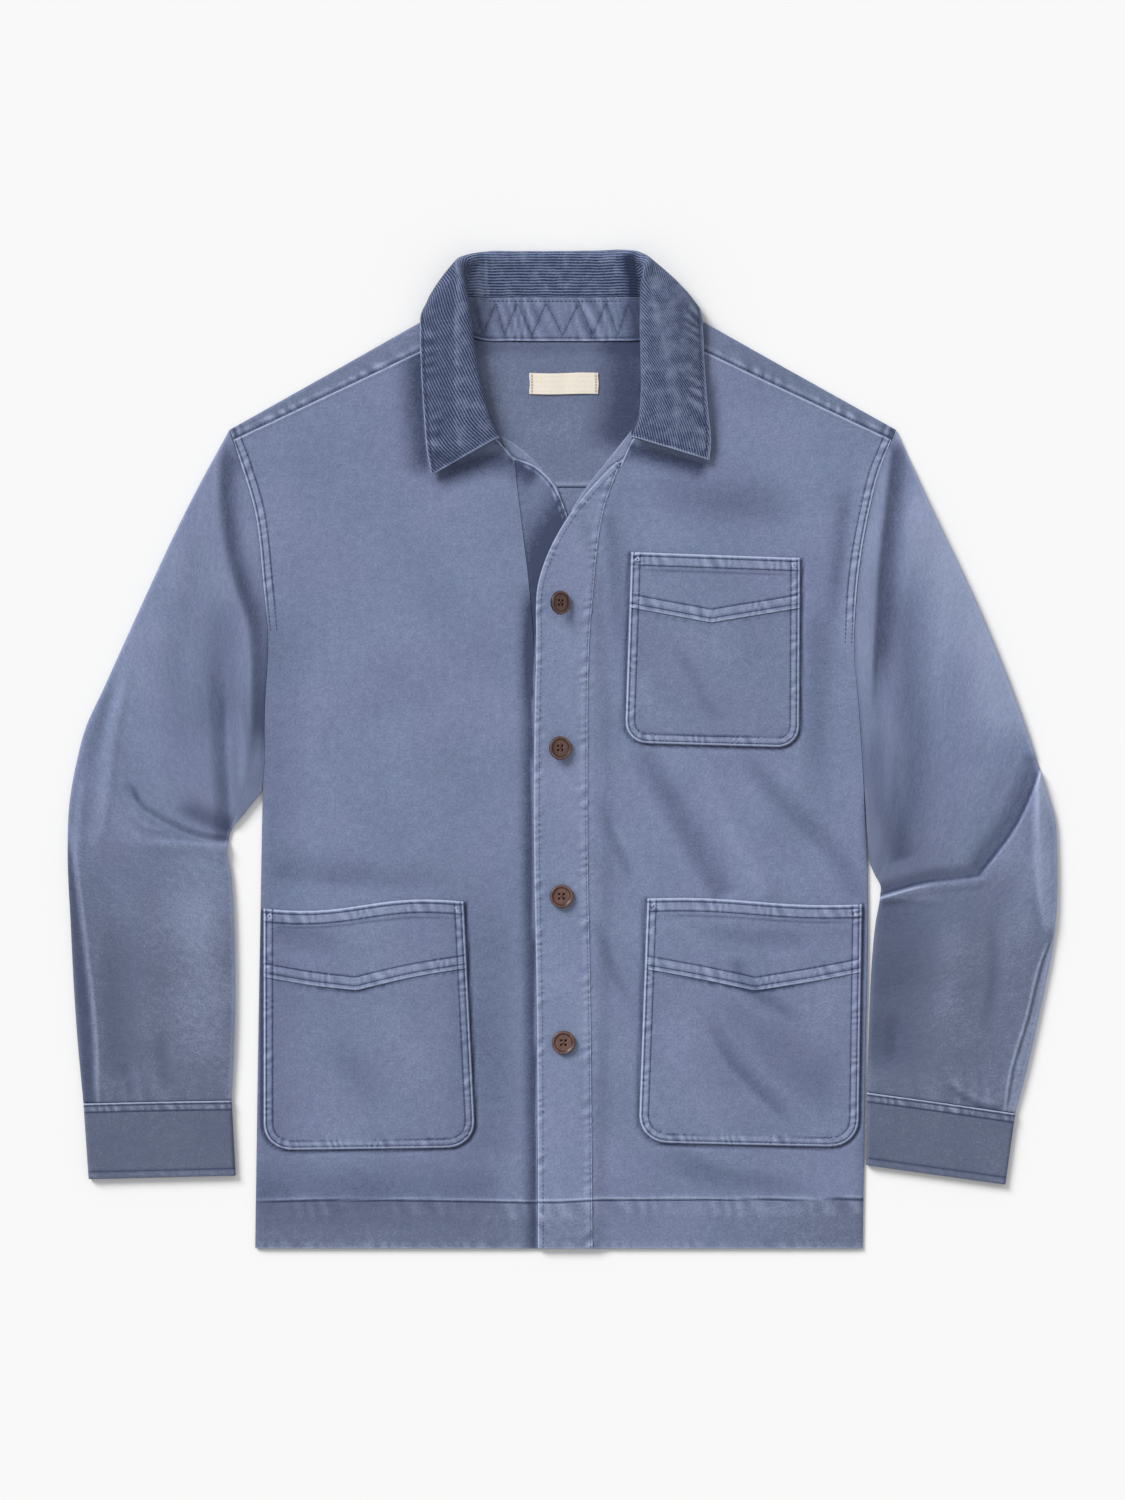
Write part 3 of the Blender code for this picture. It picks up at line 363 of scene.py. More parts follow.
def measure(line: Array, x: Array, y: Array) -> tuple[Array, Array]:
    """Find how far points lie from a line and how far along it their nearest points are.

    Args:
        line: points of the line.
        x: places across.
        y: places along the jacket.

    Returns:
        The distance, positive on the left of the line's direction, and the length along it.
    """
    a, run = line[:-1], np.diff(line, axis=0)
    size = np.linalg.norm(run, axis=1)
    px, py = x[..., None] - a[:, 0], y[..., None] - a[:, 1]
    t = np.clip((px * run[:, 0] + py * run[:, 1]) / size**2, 0, 1)
    dx, dy = px - t * run[:, 0], py - t * run[:, 1]
    gap = np.hypot(dx, dy)
    nearest = np.argmin(gap, axis=-1)[..., None]
    side = np.take_along_axis(run[:, 0] * dy - run[:, 1] * dx, nearest, -1)[..., 0]
    along = lengths_along(line)[:-1][nearest[..., 0]]
    along = along + (np.take_along_axis(t, nearest, -1) * size[nearest])[..., 0]
    return np.copysign(np.take_along_axis(gap, nearest, -1)[..., 0], side), along


def ripple(along: Array, across: Array, period: float, seed: int) -> Array:
    """Uneven waves along a seam: a sine whose phase and height drift, slanted across the seam.

    Args:
        along: lengths along the seam.
        across: distances from it.
        period: mean length of a wave.
        seed: number that the three starting phases are drawn from.

    Returns:
        Heights from -1 to 1.
    """
    a, b, c = np.random.default_rng(seed).uniform(0, 2 * math.pi, 3)
    turn = 2 * math.pi / period
    drift = PHASE_DRIFT * np.sin(turn * along / PHASE_PERIODS + b)
    height = WAVE_HEIGHT + WAVE_HEIGHT_DRIFT * np.sin(turn * along / HEIGHT_PERIODS + c)
    return np.sin(turn * (along + WAVE_SLANT * across) + a + drift) * height


# ---------- folds and sewn lines


@dataclass(frozen=True)
class Fold:
    """A soft ridge or trough.

    reach_left and reach_right are how far it spreads on each side of its line, height is its rise,
    fade_in and fade_out the shares of its length over which it dies away, and the lightening after them
    how much lighter the cloth is painted on it: on a few folds rubbed wear, but mostly painted light on
    ridges and, below zero, painted shade in troughs, creases and shadows. A broad one keeps its height
    over the first third of its reach.
    """

    line: tuple[Point, ...]
    reach_left: float
    reach_right: float
    height: float
    fade_in: float
    fade_out: float
    wear_and_shade: float = 0
    broad: bool = False

    def relief(self, x: Array, y: Array) -> tuple[Array, Array]:
        """Work out the fold's bell across its line, which fades towards both ends.

        Args:
            x: places across.
            y: places along the jacket.

        Returns:
            The height, and the wear and painted light and shade, that it adds at each place.
        """
        line = curve_through(self.line, np.linspace(0, 1, 6 * len(self.line)))
        side, along = measure(line, x, y)
        along = along / lengths_along(line)[-1]
        reach = np.where(side > 0, self.reach_left, self.reach_right)
        shape = hump(side, reach) if self.broad else bell(side, reach)
        fade = ease(along / max(self.fade_in, MM)) * ease((1 - along) / max(self.fade_out, MM))
        return self.height * shape * fade, self.wear_and_shade * shape * fade

    def stitch_lines(self) -> list[Array]:
        """A fold has no stitches."""
        return []


@dataclass(frozen=True)
class Seam:
    """A sewn line and the strip of doubled cloth on the left of its direction.

    width is the strip's, rise its height, pucker and period the height and spacing of the waves that
    washing leaves in it, and spread how far they run on past it. The lightening of the strip is rubbed
    wear, with painted light on the waves' crests and painted shade in their hollows; rim is that of its
    very edge, a pale rubbed edge above zero and a painted shadow line below it, and it stands off by the
    outline, a painted dark line at the edge. rows are the stitch rows' distances from the line, groove
    their depth, ink how dark they are, and the dip's depth and shade its reach beyond the line: the dip
    is painted dark as its shade, and raised and painted light where its depth is below zero. fade_in and
    fade_out are the lengths over which all of it dies away at the line's ends.
    """

    line: tuple[Point, ...]
    width: float = 7.2
    rise: float = 0.35
    pucker: float = 0.22
    period: float = 9
    wear_and_shade: float = 0.4
    rim: float = 0.8
    rows: tuple[float, ...] = (1.8, 7.2)
    groove: float = 0.3
    ink: float = 0.9
    ditch_and_shade: float = 0
    shade: float = 1.6
    outline: float = 0
    fade_in: float = 0.1
    fade_out: float = 0.1
    seed: int = 1
    spread: float = 1

    def relief(self, x: Array, y: Array) -> tuple[Array, Array]:
        """Work out the strip: an even rise and waves, a groove along each row and a dip outside.

        Args:
            x: places across.
            y: places along the jacket.

        Returns:
            The height, and the wear and painted light and shade, that it adds at each place.
        """
        path = even_curve(self.line, 5)
        margin = self.width * 2.5 + 6
        low, high = path.min(axis=0) - margin, path.max(axis=0) + margin
        near = (x > low[0]) & (x < high[0]) & (y > low[1]) & (y < high[1])
        height, wear_and_shade = np.zeros_like(x), np.zeros_like(x)
        side, along = measure(path, x[near], y[near])
        whole = lengths_along(path)[-1]
        fade = ease(along / self.fade_in) * ease((whole - along) / self.fade_out)
        strip = ease(side + 0.5) * ease(self.width + 0.8 - side)
        waves = ripple(along, side, self.period, self.seed)
        around = bell(side - self.width * 0.5, self.width * (0.75 + 0.5 * self.spread))
        grooves = profile(side, *(Bump(row, 1, 1) for row in self.rows))
        dip = bell(side + 0.9, self.shade)
        height[near] = fade * (
            self.rise * strip + self.pucker * waves * around - self.groove * grooves - self.ditch_and_shade * dip
        )
        # Rubbed lightening of the strip with painted light and shade on its waves, the rim's pale edge (a
        # painted shadow line where below zero), the outline's painted dark line, dark rows and the dip's
        # painted shade
        wear_and_shade[near] = fade * (
            self.wear_and_shade * (strip * (0.55 + 0.6 * waves) + 0.35 * self.spread * around * waves)
            + self.rim * bell(side - 0.55 - self.outline, 0.95) - 1.6 * self.outline * bell(side, 0.6)
            - self.ink * grooves - 0.9 * self.ditch_and_shade * dip
        )
        return height, wear_and_shade

    def stitch_lines(self) -> list[Array]:
        """The paths of the stitch rows."""
        path = even_curve(self.line, 3)
        return [shifted(path, row) for row in self.rows]


def total_relief(parts: Sequence[Fold | Seam], x: Array, y: Array) -> tuple[Array, Array]:
    """Add up the relief of folds and seams.

    Args:
        parts: the folds and seams.
        x: places across.
        y: places along the jacket.

    Returns:
        The height, and the wear and painted light and shade, that they add at each place.
    """
    height, wear_and_shade = np.zeros_like(x), np.zeros_like(x)
    for part in parts:
        more_height, more_wear_and_shade = part.relief(x, y)
        height += more_height
        wear_and_shade += more_wear_and_shade
    return height, wear_and_shade


# ---------- materials


def add_node(tree: Tree, kind: str, inputs: dict, output: int | str = 0,
             **settings: object) -> Socket:
    """Add a shader node with its settings, values and links.

    Args:
        tree: the material's node tree.
        kind: the node's type name after "ShaderNode".
        inputs: for each socket name or number, an output socket to link or a value to set.
        output: name or number of the output that is wanted.
        **settings: attributes of the node.

    Returns:
        That output of the new node.
    """
    node = tree.nodes.new("ShaderNode" + kind)
    for name, value in settings.items():
        setattr(node, name, value)
    for name, value in inputs.items():
        if isinstance(value, Socket):
            tree.links.new(value, node.inputs[name])
        else:
            node.inputs[name].default_value = value
    return node.outputs[output]


def wave_vector(period_mm: float, angle: float) -> tuple[float, float, float]:
    """Direction across a striped pattern, 2 pi over its period long, so that a dot product is its phase."""
    turn = 2 * math.pi / (period_mm * MM)
    return (turn * math.cos(angle), turn * math.sin(angle), 0)


def blot_inputs(place: Socket, size_mm: float, detail: float) -> dict:
    """Settings of a noise whose blots are about the given size."""
    return {"Vector": place, "Scale": 1 / (size_mm * MM), "Detail": detail, "Roughness": 0.55}


@dataclass(frozen=True)
class Finish:
    """A plain finish: its name, its colour, and the levels of its shader."""

    name: str
    colour: str
    roughness: float = 0.9
    specular: float = 0.2
    sheen: float = 0

    def make(self) -> Material:
        """Build the material: the shader's levels, then the pattern's colour and bump, if it has them.

        Returns:
            The material.
        """
        finish = bpy.data.materials.new(self.name)
        finish.use_nodes = True
        shader = finish.node_tree.nodes["Principled BSDF"]
        shader.inputs["Base Color"].default_value = linear(self.colour)
        shader.inputs["Roughness"].default_value = self.roughness
        shader.inputs["Specular IOR Level"].default_value = self.specular
        shader.inputs["Sheen Weight"].default_value = self.sheen
        for socket, pattern in self.patterns(finish.node_tree).items():
            finish.node_tree.links.new(pattern, shader.inputs[socket])
        return finish

    def patterns(self, tree: Tree) -> dict[str, Socket]:
        """What drives the shader's sockets; nothing does in a plain finish."""
        return {}


@dataclass(frozen=True)
class TwillFinish(Finish):
    """Cotton twill, woven, sewn, then dyed as a garment and washed.

    The eye sees a dusty matt blue with a faint diagonal rib, soft blotches of dye, pale rubbed edges
    and darker dye where the cloth is doubled. In its colour, painted shade darkens the ditches of the
    seams, the troughs and creases of folds and the cloth under the collar and beside edges that lie over
    it, and painted light brightens ridges and some turned edges.
    """

    name: str = "washed_cotton_twill"
    colour: str = "#7780A0"
    cool: str = "#73809E"
    deep: str = "#60687F"
    # The pale colour is for rubbed places and painted light, the dark one for the seams' ditches and painted
    # shade
    worn_and_lit: str = "#A3AECB"
    ditch_and_shade: str = "#3F4763"
    sheen: float = 0.12
    rib_mm: float = 1.1  # the real rib is about 0.6 mm, too fine to show at this distance
    rib_angle: float = math.radians(28)
    fuzz_mm: float = 1.7
    slub_mm: float = 6
    blot_mm: float = 55
    dye_lot_mm: float = 90

    def patterns(self, tree: Tree) -> dict[str, Socket]:
        """Layer the colours: two blues in clouds, then doubled cloth, rubbed places with painted light, and
        ditches with painted shade.

        Args:
            tree: the material's node tree.

        Returns:
            The colour and the bump.
        """
        grain = add_node(tree, "UVMap", {}, uv_map="grain")
        phase = add_node(tree, "VectorMath", {0: grain, 1: wave_vector(self.rib_mm, self.rib_angle)},
                         "Value", operation="DOT_PRODUCT")
        rib = add_node(tree, "Math", {0: phase}, operation="SINE")
        fuzz = add_node(tree, "TexNoise", blot_inputs(grain, self.fuzz_mm, 4))
        slub = add_node(tree, "TexNoise", blot_inputs(grain, self.slub_mm, 3))
        blot = add_node(tree, "TexNoise", blot_inputs(grain, self.blot_mm, 3))
        lot = add_node(tree, "TexNoise", blot_inputs(grain, self.dye_lot_mm, 2))
        wear_and_shade = add_node(tree, "Attribute", {}, "Fac", attribute_name="wear_and_shade")
        tone = add_node(tree, "Attribute", {}, "Fac", attribute_name="tone")
        rubbed_light_and_shade = -0.5 * (0.5 + 1 + 0.5)  # each noise swings about a half
        # The point attribute of wear and painted light and shade, with the noises: above zero it mixes in the
        # pale, below zero the dark painted shade
        for value, weight in ((wear_and_shade, 1), (slub, 0.5), (fuzz, 1), (blot, 0.5), (rib, 0.08)):
            rubbed_light_and_shade = add_node(tree, "Math", {0: value, 1: weight, 2: rubbed_light_and_shade}, operation="MULTIPLY_ADD")
        dark_and_painted_shade = add_node(tree, "Math", {0: rubbed_light_and_shade, 1: -1}, operation="MULTIPLY")
        cloud = add_node(tree, "Math", {0: lot, 1: 4, 2: -4 * 0.38}, operation="MULTIPLY_ADD")
        colour = linear(self.cool)
        for share, tint in ((cloud, self.colour), (tone, self.deep), (rubbed_light_and_shade, self.worn_and_lit), (dark_and_painted_shade, self.ditch_and_shade)):
            colour = add_node(tree, "Mix", {0: share, 6: colour, 7: linear(tint)}, 2, data_type="RGBA")
        height = 0
        for value, weight in ((rib, 0.1), (fuzz, 0.5), (slub, 0.9)):
            height = add_node(tree, "Math", {0: value, 1: weight, 2: height}, operation="MULTIPLY_ADD")
        bump = add_node(tree, "Bump", {"Height": height, "Strength": 0.55, "Distance": 0.7 * MM})
        return {"Base Color": colour, "Normal": bump}


@dataclass(frozen=True)
class CorduroyFinish(Finish):
    """Fine cotton corduroy, cut pile, dyed with the garment and washed.

    The eye sees soft ribs, with a painted highlight on their crowns and painted shade in their valleys,
    a deeper blue than the twill, cloudy pale patches where the pile is rubbed, and painted light and
    shade where the collar rolls and falls.
    """

    name: str = "washed_cotton_corduroy"
    colour: str = "#4F5B7B"
    # The crown colour is a painted highlight on the ribs and the valley colour painted shade, also used for
    # painted shade patches; the worn colour is rubbed pile and painted light
    crown_highlight: str = "#808CAE"
    valley_shade: str = "#29334C"
    worn_and_lit: str = "#9BA8C6"
    roughness: float = 0.95
    specular: float = 0.15
    sheen: float = 0.12
    wale_mm: float = 2.3
    wander_mm: float = 1.6
    pile_mm: float = 1.5
    cloud_mm: float = 9

    def patterns(self, tree: Tree) -> dict[str, Socket]:
        """Paint a highlight on the crowns and shade in the valleys of a sine across the wandering ribs, then
        rubbed clouds with the painted light and shade of the point attribute.

        Args:
            tree: the material's node tree.

        Returns:
            The colour and the bump.
        """
        grain = add_node(tree, "UVMap", {}, uv_map="grain")
        own = add_node(tree, "TexCoord", {}, "Object")
        drift = add_node(tree, "TexNoise", blot_inputs(grain, 14, 2))
        pile = add_node(tree, "TexNoise", blot_inputs(own, self.pile_mm, 3))
        cloud = add_node(tree, "TexNoise", blot_inputs(own, self.cloud_mm, 5))
        wear_and_shade = add_node(tree, "Attribute", {}, "Fac", attribute_name="wear_and_shade")
        wander = self.wander_mm * MM
        nudge = add_node(tree, "Math", {0: drift, 1: wander, 2: -0.5 * wander}, operation="MULTIPLY_ADD")
        place = add_node(tree, "VectorMath", {0: grain, 1: add_node(tree, "CombineXYZ", {0: nudge})},
                         operation="ADD")
        phase = add_node(tree, "VectorMath", {0: place, 1: wave_vector(self.wale_mm, 0)}, "Value",
                         operation="DOT_PRODUCT")
        wale = add_node(tree, "Math", {0: phase}, operation="SINE")
        ribs = add_node(tree, "Math", {0: wale, 1: 0.95, 2: -1}, operation="MULTIPLY_ADD")
        ribs = add_node(tree, "Math", {0: pile, 1: 2, 2: ribs}, operation="MULTIPLY_ADD")
        rubbed_light_and_shade = add_node(tree, "Math", {0: cloud, 1: 1.5, 2: -0.75}, operation="MULTIPLY_ADD")
        rubbed_light_and_shade = add_node(tree, "Math", {0: rubbed_light_and_shade, 1: wear_and_shade}, operation="ADD")
        colour = linear(self.colour)
        # Painted highlight on the crowns and shade in the valleys, then the pale of rubbed pile and painted
        # light, and painted shade
        for value, strength, tint in ((ribs, 0.9, self.crown_highlight), (ribs, -1, self.valley_shade),
                                     (rubbed_light_and_shade, 0.8, self.worn_and_lit), (rubbed_light_and_shade, -0.8, self.valley_shade)):
            share = add_node(tree, "Math", {0: value, 1: strength}, operation="MULTIPLY")
            colour = add_node(tree, "Mix", {0: share, 6: colour, 7: linear(tint)}, 2, data_type="RGBA")
        height = add_node(tree, "Math", {0: wale, 1: pile}, operation="ADD")
        bump = add_node(tree, "Bump", {"Height": height, "Strength": 0.7, "Distance": 0.4 * MM})
        return {"Base Color": colour, "Normal": bump}


@dataclass(frozen=True)
class ThreadFinish(Finish):
    """Spun polyester-cotton sewing thread, twisted, which takes the dye more deeply than the cloth."""

    roughness: float = 0.7
    specular: float = 0.25
    twist_mm: float = 0.6

    def patterns(self, tree: Tree) -> dict[str, Socket]:
        """Darken the thread in the fine blots of its twist.

        Args:
            tree: the material's node tree.

        Returns:
            The colour.
        """
        own = add_node(tree, "TexCoord", {}, "Object")
        twist = add_node(tree, "TexNoise", blot_inputs(own, self.twist_mm, 2))
        light = linear(self.colour)
        dark = (*(part * 0.6 for part in light[:3]), 1)
        return {"Base Color": add_node(tree, "Mix", {0: twist, 6: dark, 7: light}, 2, data_type="RGBA")}


@dataclass(frozen=True)
class HornFinish(Finish):
    """Horn-effect resin button, turned and tumbled: brown with darker streaks and a satin face."""

    name: str = "horn_effect_resin"
    colour: str = "#35201C"
    streak: str = "#866357"
    # Hole colour: painted shade in the holes and round the rim's outer side
    hole: str = "#140B0A"
    roughness: float = 0.38
    specular: float = 0.5
    streak_mm: float = 2.6

    def patterns(self, tree: Tree) -> dict[str, Socket]:
        """Streak the brown; the point attribute of wear and shade is painted shade in the holes, where the
        dish meets the rim and round the rim's outer side, and lightens the rim's top.

        Args:
            tree: the material's node tree.

        Returns:
            The colour.
        """
        own = add_node(tree, "TexCoord", {}, "Object")
        turned = {"Vector": own, "Scale": (1, 0.35, 1), "Rotation": (0, 0, 0.6)}
        turned = add_node(tree, "Mapping", turned)
        streak = add_node(tree, "TexNoise", blot_inputs(turned, self.streak_mm, 4))
        wear_and_shade = add_node(tree, "Attribute", {}, "Fac", attribute_name="wear_and_shade")
        share = add_node(tree, "Math", {0: streak, 1: 1.3, 2: -0.286}, operation="MULTIPLY_ADD")
        share = add_node(tree, "Math", {0: wear_and_shade, 1: 0.585, 2: share}, operation="MULTIPLY_ADD")
        dark_and_painted_shade = add_node(tree, "Math", {0: wear_and_shade, 1: -1}, operation="MULTIPLY")
        colour = linear(self.colour)
        for part, tint in ((share, self.streak), (dark_and_painted_shade, self.hole)):
            colour = add_node(tree, "Mix", {0: part, 6: colour, 7: linear(tint)}, 2, data_type="RGBA")
        return {"Base Color": colour}


@dataclass(frozen=True)
class TapeFinish(Finish):
    """Woven cotton tape, unbleached: cream with fine crosswise ribs. It stays blank."""

    name: str = "woven_cotton_tape"
    colour: str = "#F8F1E4"
    shade: str = "#D9CDB9"
    rib_mm: float = 1
    fuzz_mm: float = 2.5

    def patterns(self, tree: Tree) -> dict[str, Socket]:
        """Shade the tape between its ribs, in soft blots and where it is sewn down.

        Args:
            tree: the material's node tree.

        Returns:
            The colour and the bump.
        """
        grain = add_node(tree, "UVMap", {}, uv_map="grain")
        phase = add_node(tree, "VectorMath", {0: grain, 1: wave_vector(self.rib_mm, math.pi / 2)},
                         "Value", operation="DOT_PRODUCT")
        rib = add_node(tree, "Math", {0: phase}, operation="SINE")
        fuzz = add_node(tree, "TexNoise", blot_inputs(grain, self.fuzz_mm, 3))
        wear_and_shade = add_node(tree, "Attribute", {}, "Fac", attribute_name="wear_and_shade")
        share = 0
        for value, weight in ((rib, 0.15), (fuzz, 0.6), (wear_and_shade, -1)):
            share = add_node(tree, "Math", {0: value, 1: weight, 2: share}, operation="MULTIPLY_ADD")
        ends = {0: share, 6: linear(self.colour), 7: linear(self.shade)}
        colour = add_node(tree, "Mix", ends, 2, data_type="RGBA")
        bump = add_node(tree, "Bump", {"Height": rib, "Strength": 0.3, "Distance": 0.2 * MM})
        return {"Base Color": colour, "Normal": bump}


# ---------- meshes


def link_object(name: str, data: bpy.types.ID) -> bpy.types.Object:
    """Put a mesh, a light or a camera into the scene as an object at the origin.

    Args:
        name: its name.
        data: what it shows.

    Returns:
        The object.
    """
    piece = bpy.data.objects.new(name, data)
    bpy.context.scene.collection.objects.link(piece)
    return piece


def smooth_mesh(name: str, points: Array, faces: list, finish: Material) -> bpy.types.Mesh:
    """Make a smooth mesh.

    Args:
        name: its name.
        points: its points, in mm.
        faces: the corners of each face.
        finish: its material.

    Returns:
        The mesh.
    """
    mesh = bpy.data.meshes.new(name)
    mesh.from_pydata((points.reshape(-1, 3) * MM).tolist(), [], faces)
    mesh.polygons.foreach_set("use_smooth", np.ones(len(faces), dtype=bool))
    mesh.materials.append(finish)
    return mesh


@dataclass
class Cloth:
    """A grid of points with the wear and painted light and shade, dye depth and grain place that each carries.

    grid is rows by columns by 3, in mm. A point that isn't a number is left out with its faces.
    """

    grid: Array
    wear_and_shade: Array
    tone: Array
    grain: Array | None = None

    def faces(self, ring: bool) -> Array:
        """Join neighbouring rows and columns with four-sided faces.

        Args:
            ring: whether the last column is the first again.

        Returns:
            The corners of each face.
        """
        rows, columns = self.grid.shape[:2]
        number = np.arange(rows * columns).reshape(rows, columns)
        if ring:
            number[:, -1] = number[:, 0]
        quads = np.stack([number[:-1, :-1], number[:-1, 1:], number[1:, 1:], number[1:, :-1]], axis=-1)
        quads = quads.reshape(-1, 4)
        missing = np.isnan(self.grid[..., 0]).ravel()
        return quads[~missing[quads].any(axis=1)]

    def size(self) -> tuple[float, float, float]:
        """Measure the sheet along the cloth.

        Returns:
            The longest line across, the longest line along, and the area, in metres.
        """
        steps_across = np.linalg.norm(np.diff(self.grid, axis=1), axis=2)
        steps_along = np.linalg.norm(np.diff(self.grid, axis=0), axis=2)
        corners = self.grid.reshape(-1, 3)[self.faces(False)]
        cross = np.cross(corners[:, 2] - corners[:, 0], corners[:, 3] - corners[:, 1])
        area = 0.5 * np.linalg.norm(cross, axis=1).sum()
        return (np.nansum(steps_across, axis=1).max() * MM, np.nansum(steps_along, axis=0).max() * MM,
                area * MM * MM)

    def build(self, name: str, finish: Material, ring: bool = False) -> bpy.types.Object:
        """Make the object: faces turned upwards or outwards, smooth, with the point attributes.

        Args:
            name: the piece's name.
            finish: its material.
            ring: whether the last column is the first again.

        Returns:
            The new object, linked into the scene.
        """
        points = np.nan_to_num(self.grid.reshape(-1, 3))
        quads = self.faces(ring)
        corners = points[quads]
        normals = np.cross(corners[:, 2] - corners[:, 0], corners[:, 3] - corners[:, 1])
        if ring:
            outside = np.einsum("ij,ij->", corners.mean(axis=1) - corners.mean(axis=(0, 1)), normals)
        else:
            outside = normals[:, 2].sum()
        if outside < 0:
            quads = quads[:, ::-1]
        used, quads = np.unique(quads, return_inverse=True)
        quads = quads.reshape(-1, 4)
        mesh = smooth_mesh(name, points[used], quads.tolist(), finish)
        for label, values in (("wear_and_shade", self.wear_and_shade), ("tone", self.tone)):
            layer = mesh.attributes.new(label, "FLOAT", "POINT")
            layer.data.foreach_set("value", np.nan_to_num(values).ravel()[used].astype(np.float32))
        grain = points[:, :2] if self.grain is None else self.grain.reshape(-1, 2)
        places = mesh.uv_layers.new(name="grain")
        places.data.foreach_set("uv", (grain[used][quads.ravel()] * MM).astype(np.float32).ravel())
        return link_object(name, mesh)


def settle(piece: bpy.types.Object, nodes: Sequence[str] = ()) -> None:
    """Let a finished piece ride on the jacket and report it.

    Args:
        piece: the object.
        nodes: the solids that it stands for.
    """
    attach(piece, BODY)
    if nodes:
        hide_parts(*nodes)
    log.info("%s: %d faces", piece.name, len(piece.data.polygons))


def lay_cloth(cloth: Cloth, name: str, finish: Material, wall: float, node: str,
              outward: bool = False, ring: bool = False,
              held: Held = Held.LAID) -> None:
    """Build a cloth piece with its wall, settle it and measure the cut of what shows.

    Args:
        cloth: its points.
        name: its name.
        finish: its material.
        wall: thickness of the cloth.
        node: the solid that it stands for.
        outward: whether the wall lies outside the grid instead of inside it.
        ring: whether the last column is the first again.
        held: how the sheet is held; not used.
    """
    piece = cloth.build(name, finish, ring)
    solidify = piece.modifiers.new("wall", "SOLIDIFY")
    solidify.thickness = wall * MM
    solidify.offset = 1 if outward else -1
    settle(piece, [node])
    width, length, area = cloth.size()


def stitch_template() -> tuple[Array, Array]:
    """One stitch: a six-sided bead, one long and one wide and high, closed to a point at each end.

    Returns:
        Its points, and its faces with a triangle's last corner repeated.
    """
    sides, shoulder = 6, 0.27
    turns = np.arange(sides) * 2 * math.pi / sides
    ring = np.stack([np.zeros(sides), np.cos(turns) * 0.5, np.sin(turns) * 0.5], axis=1)
    points = np.vstack([[(-0.5, 0, 0)], ring - (shoulder, 0, 0), ring + (shoulder, 0, 0), [(0.5, 0, 0)]])
    k = np.arange(sides)
    after = (k + 1) % sides
    start = np.stack([0 * k, 1 + after, 1 + k, 1 + k], axis=1)
    middle = np.stack([1 + k, 1 + after, 7 + after, 7 + k], axis=1)
    end = np.stack([0 * k + 13, 7 + k, 7 + after, 7 + after], axis=1)
    return points, np.vstack([start, middle, end])


@dataclass
class StitchBook:
    """Stitches gathered from many rows and built as one joined mesh.

    length, width and height are one stitch's, pitch the distance from one to the next.
    """

    length: float = 2.7
    width: float = 0.75
    height: float = 0.5
    pitch: float = 3.3
    centres: list[Array] = field(default_factory=list)
    runs: list[Array] = field(default_factory=list)
    ups: list[Array] = field(default_factory=list)

    def add_line(self, line: Array, ups: Array) -> None:
        """Place stitches evenly along a line in space.

        Args:
            line: points of the line, in mm.
            ups: the direction away from the cloth at each point, or one direction for all.
        """
        lengths = lengths_along(line)
        whole = lengths[-1]
        count = max(1, int(whole / self.pitch))
        middles = (np.arange(count) + 0.5) / count
        half = self.length * 0.5 / whole
        self.centres.append(resample(line, middles))
        self.runs.append(resample(line, np.minimum(middles + half, 1)) - resample(
            line, np.maximum(middles - half, 0)))
        ups = np.broadcast_to(ups, (len(line), 3))
        self.ups.append(np.stack([np.interp(middles * whole, lengths, part) for part in ups.T], axis=1))

    def add_row(self, line: Array, surface: Surface) -> None:
        """Place stitches along a line in plan, on a surface given by its height."""
        self.add_line(np.column_stack([line, surface(line[:, 0], line[:, 1])]), UP)

    def build(self, name: str, finish: Material, slot: str) -> None:
        """Make all the stitches one object, each a little longer or shorter and turned, and settle it.

        Args:
            name: the piece's name.
            finish: its material.
            slot: the solid whose finish it would take; not used.
        """
        centres, runs, ups = (np.vstack(part) for part in (self.centres, self.runs, self.ups))
        chance = np.random.default_rng(len(centres))
        runs = runs / np.linalg.norm(runs, axis=1)[:, None]
        sides = np.cross(ups, runs)
        sides /= np.linalg.norm(sides, axis=1)[:, None]
        runs = runs + sides * chance.normal(0, 0.06, len(runs))[:, None]
        ups = np.cross(runs, sides)
        template, faces = stitch_template()
        long = self.length * chance.uniform(0.88, 1.08, len(runs))
        points = centres[:, None, :] + (
            template[None, :, :1] * long[:, None, None] * runs[:, None, :]
            + template[None, :, 1:2] * self.width * sides[:, None, :]
            + template[None, :, 2:] * self.height * ups[:, None, :]
        )
        corners = faces[None] + (np.arange(len(centres)) * len(template))[:, None, None]
        lists = [face[:3] if face[2] == face[3] else face for face in corners.reshape(-1, 4).tolist()]
        settle(link_object(name, smooth_mesh(name, points, lists, finish)))
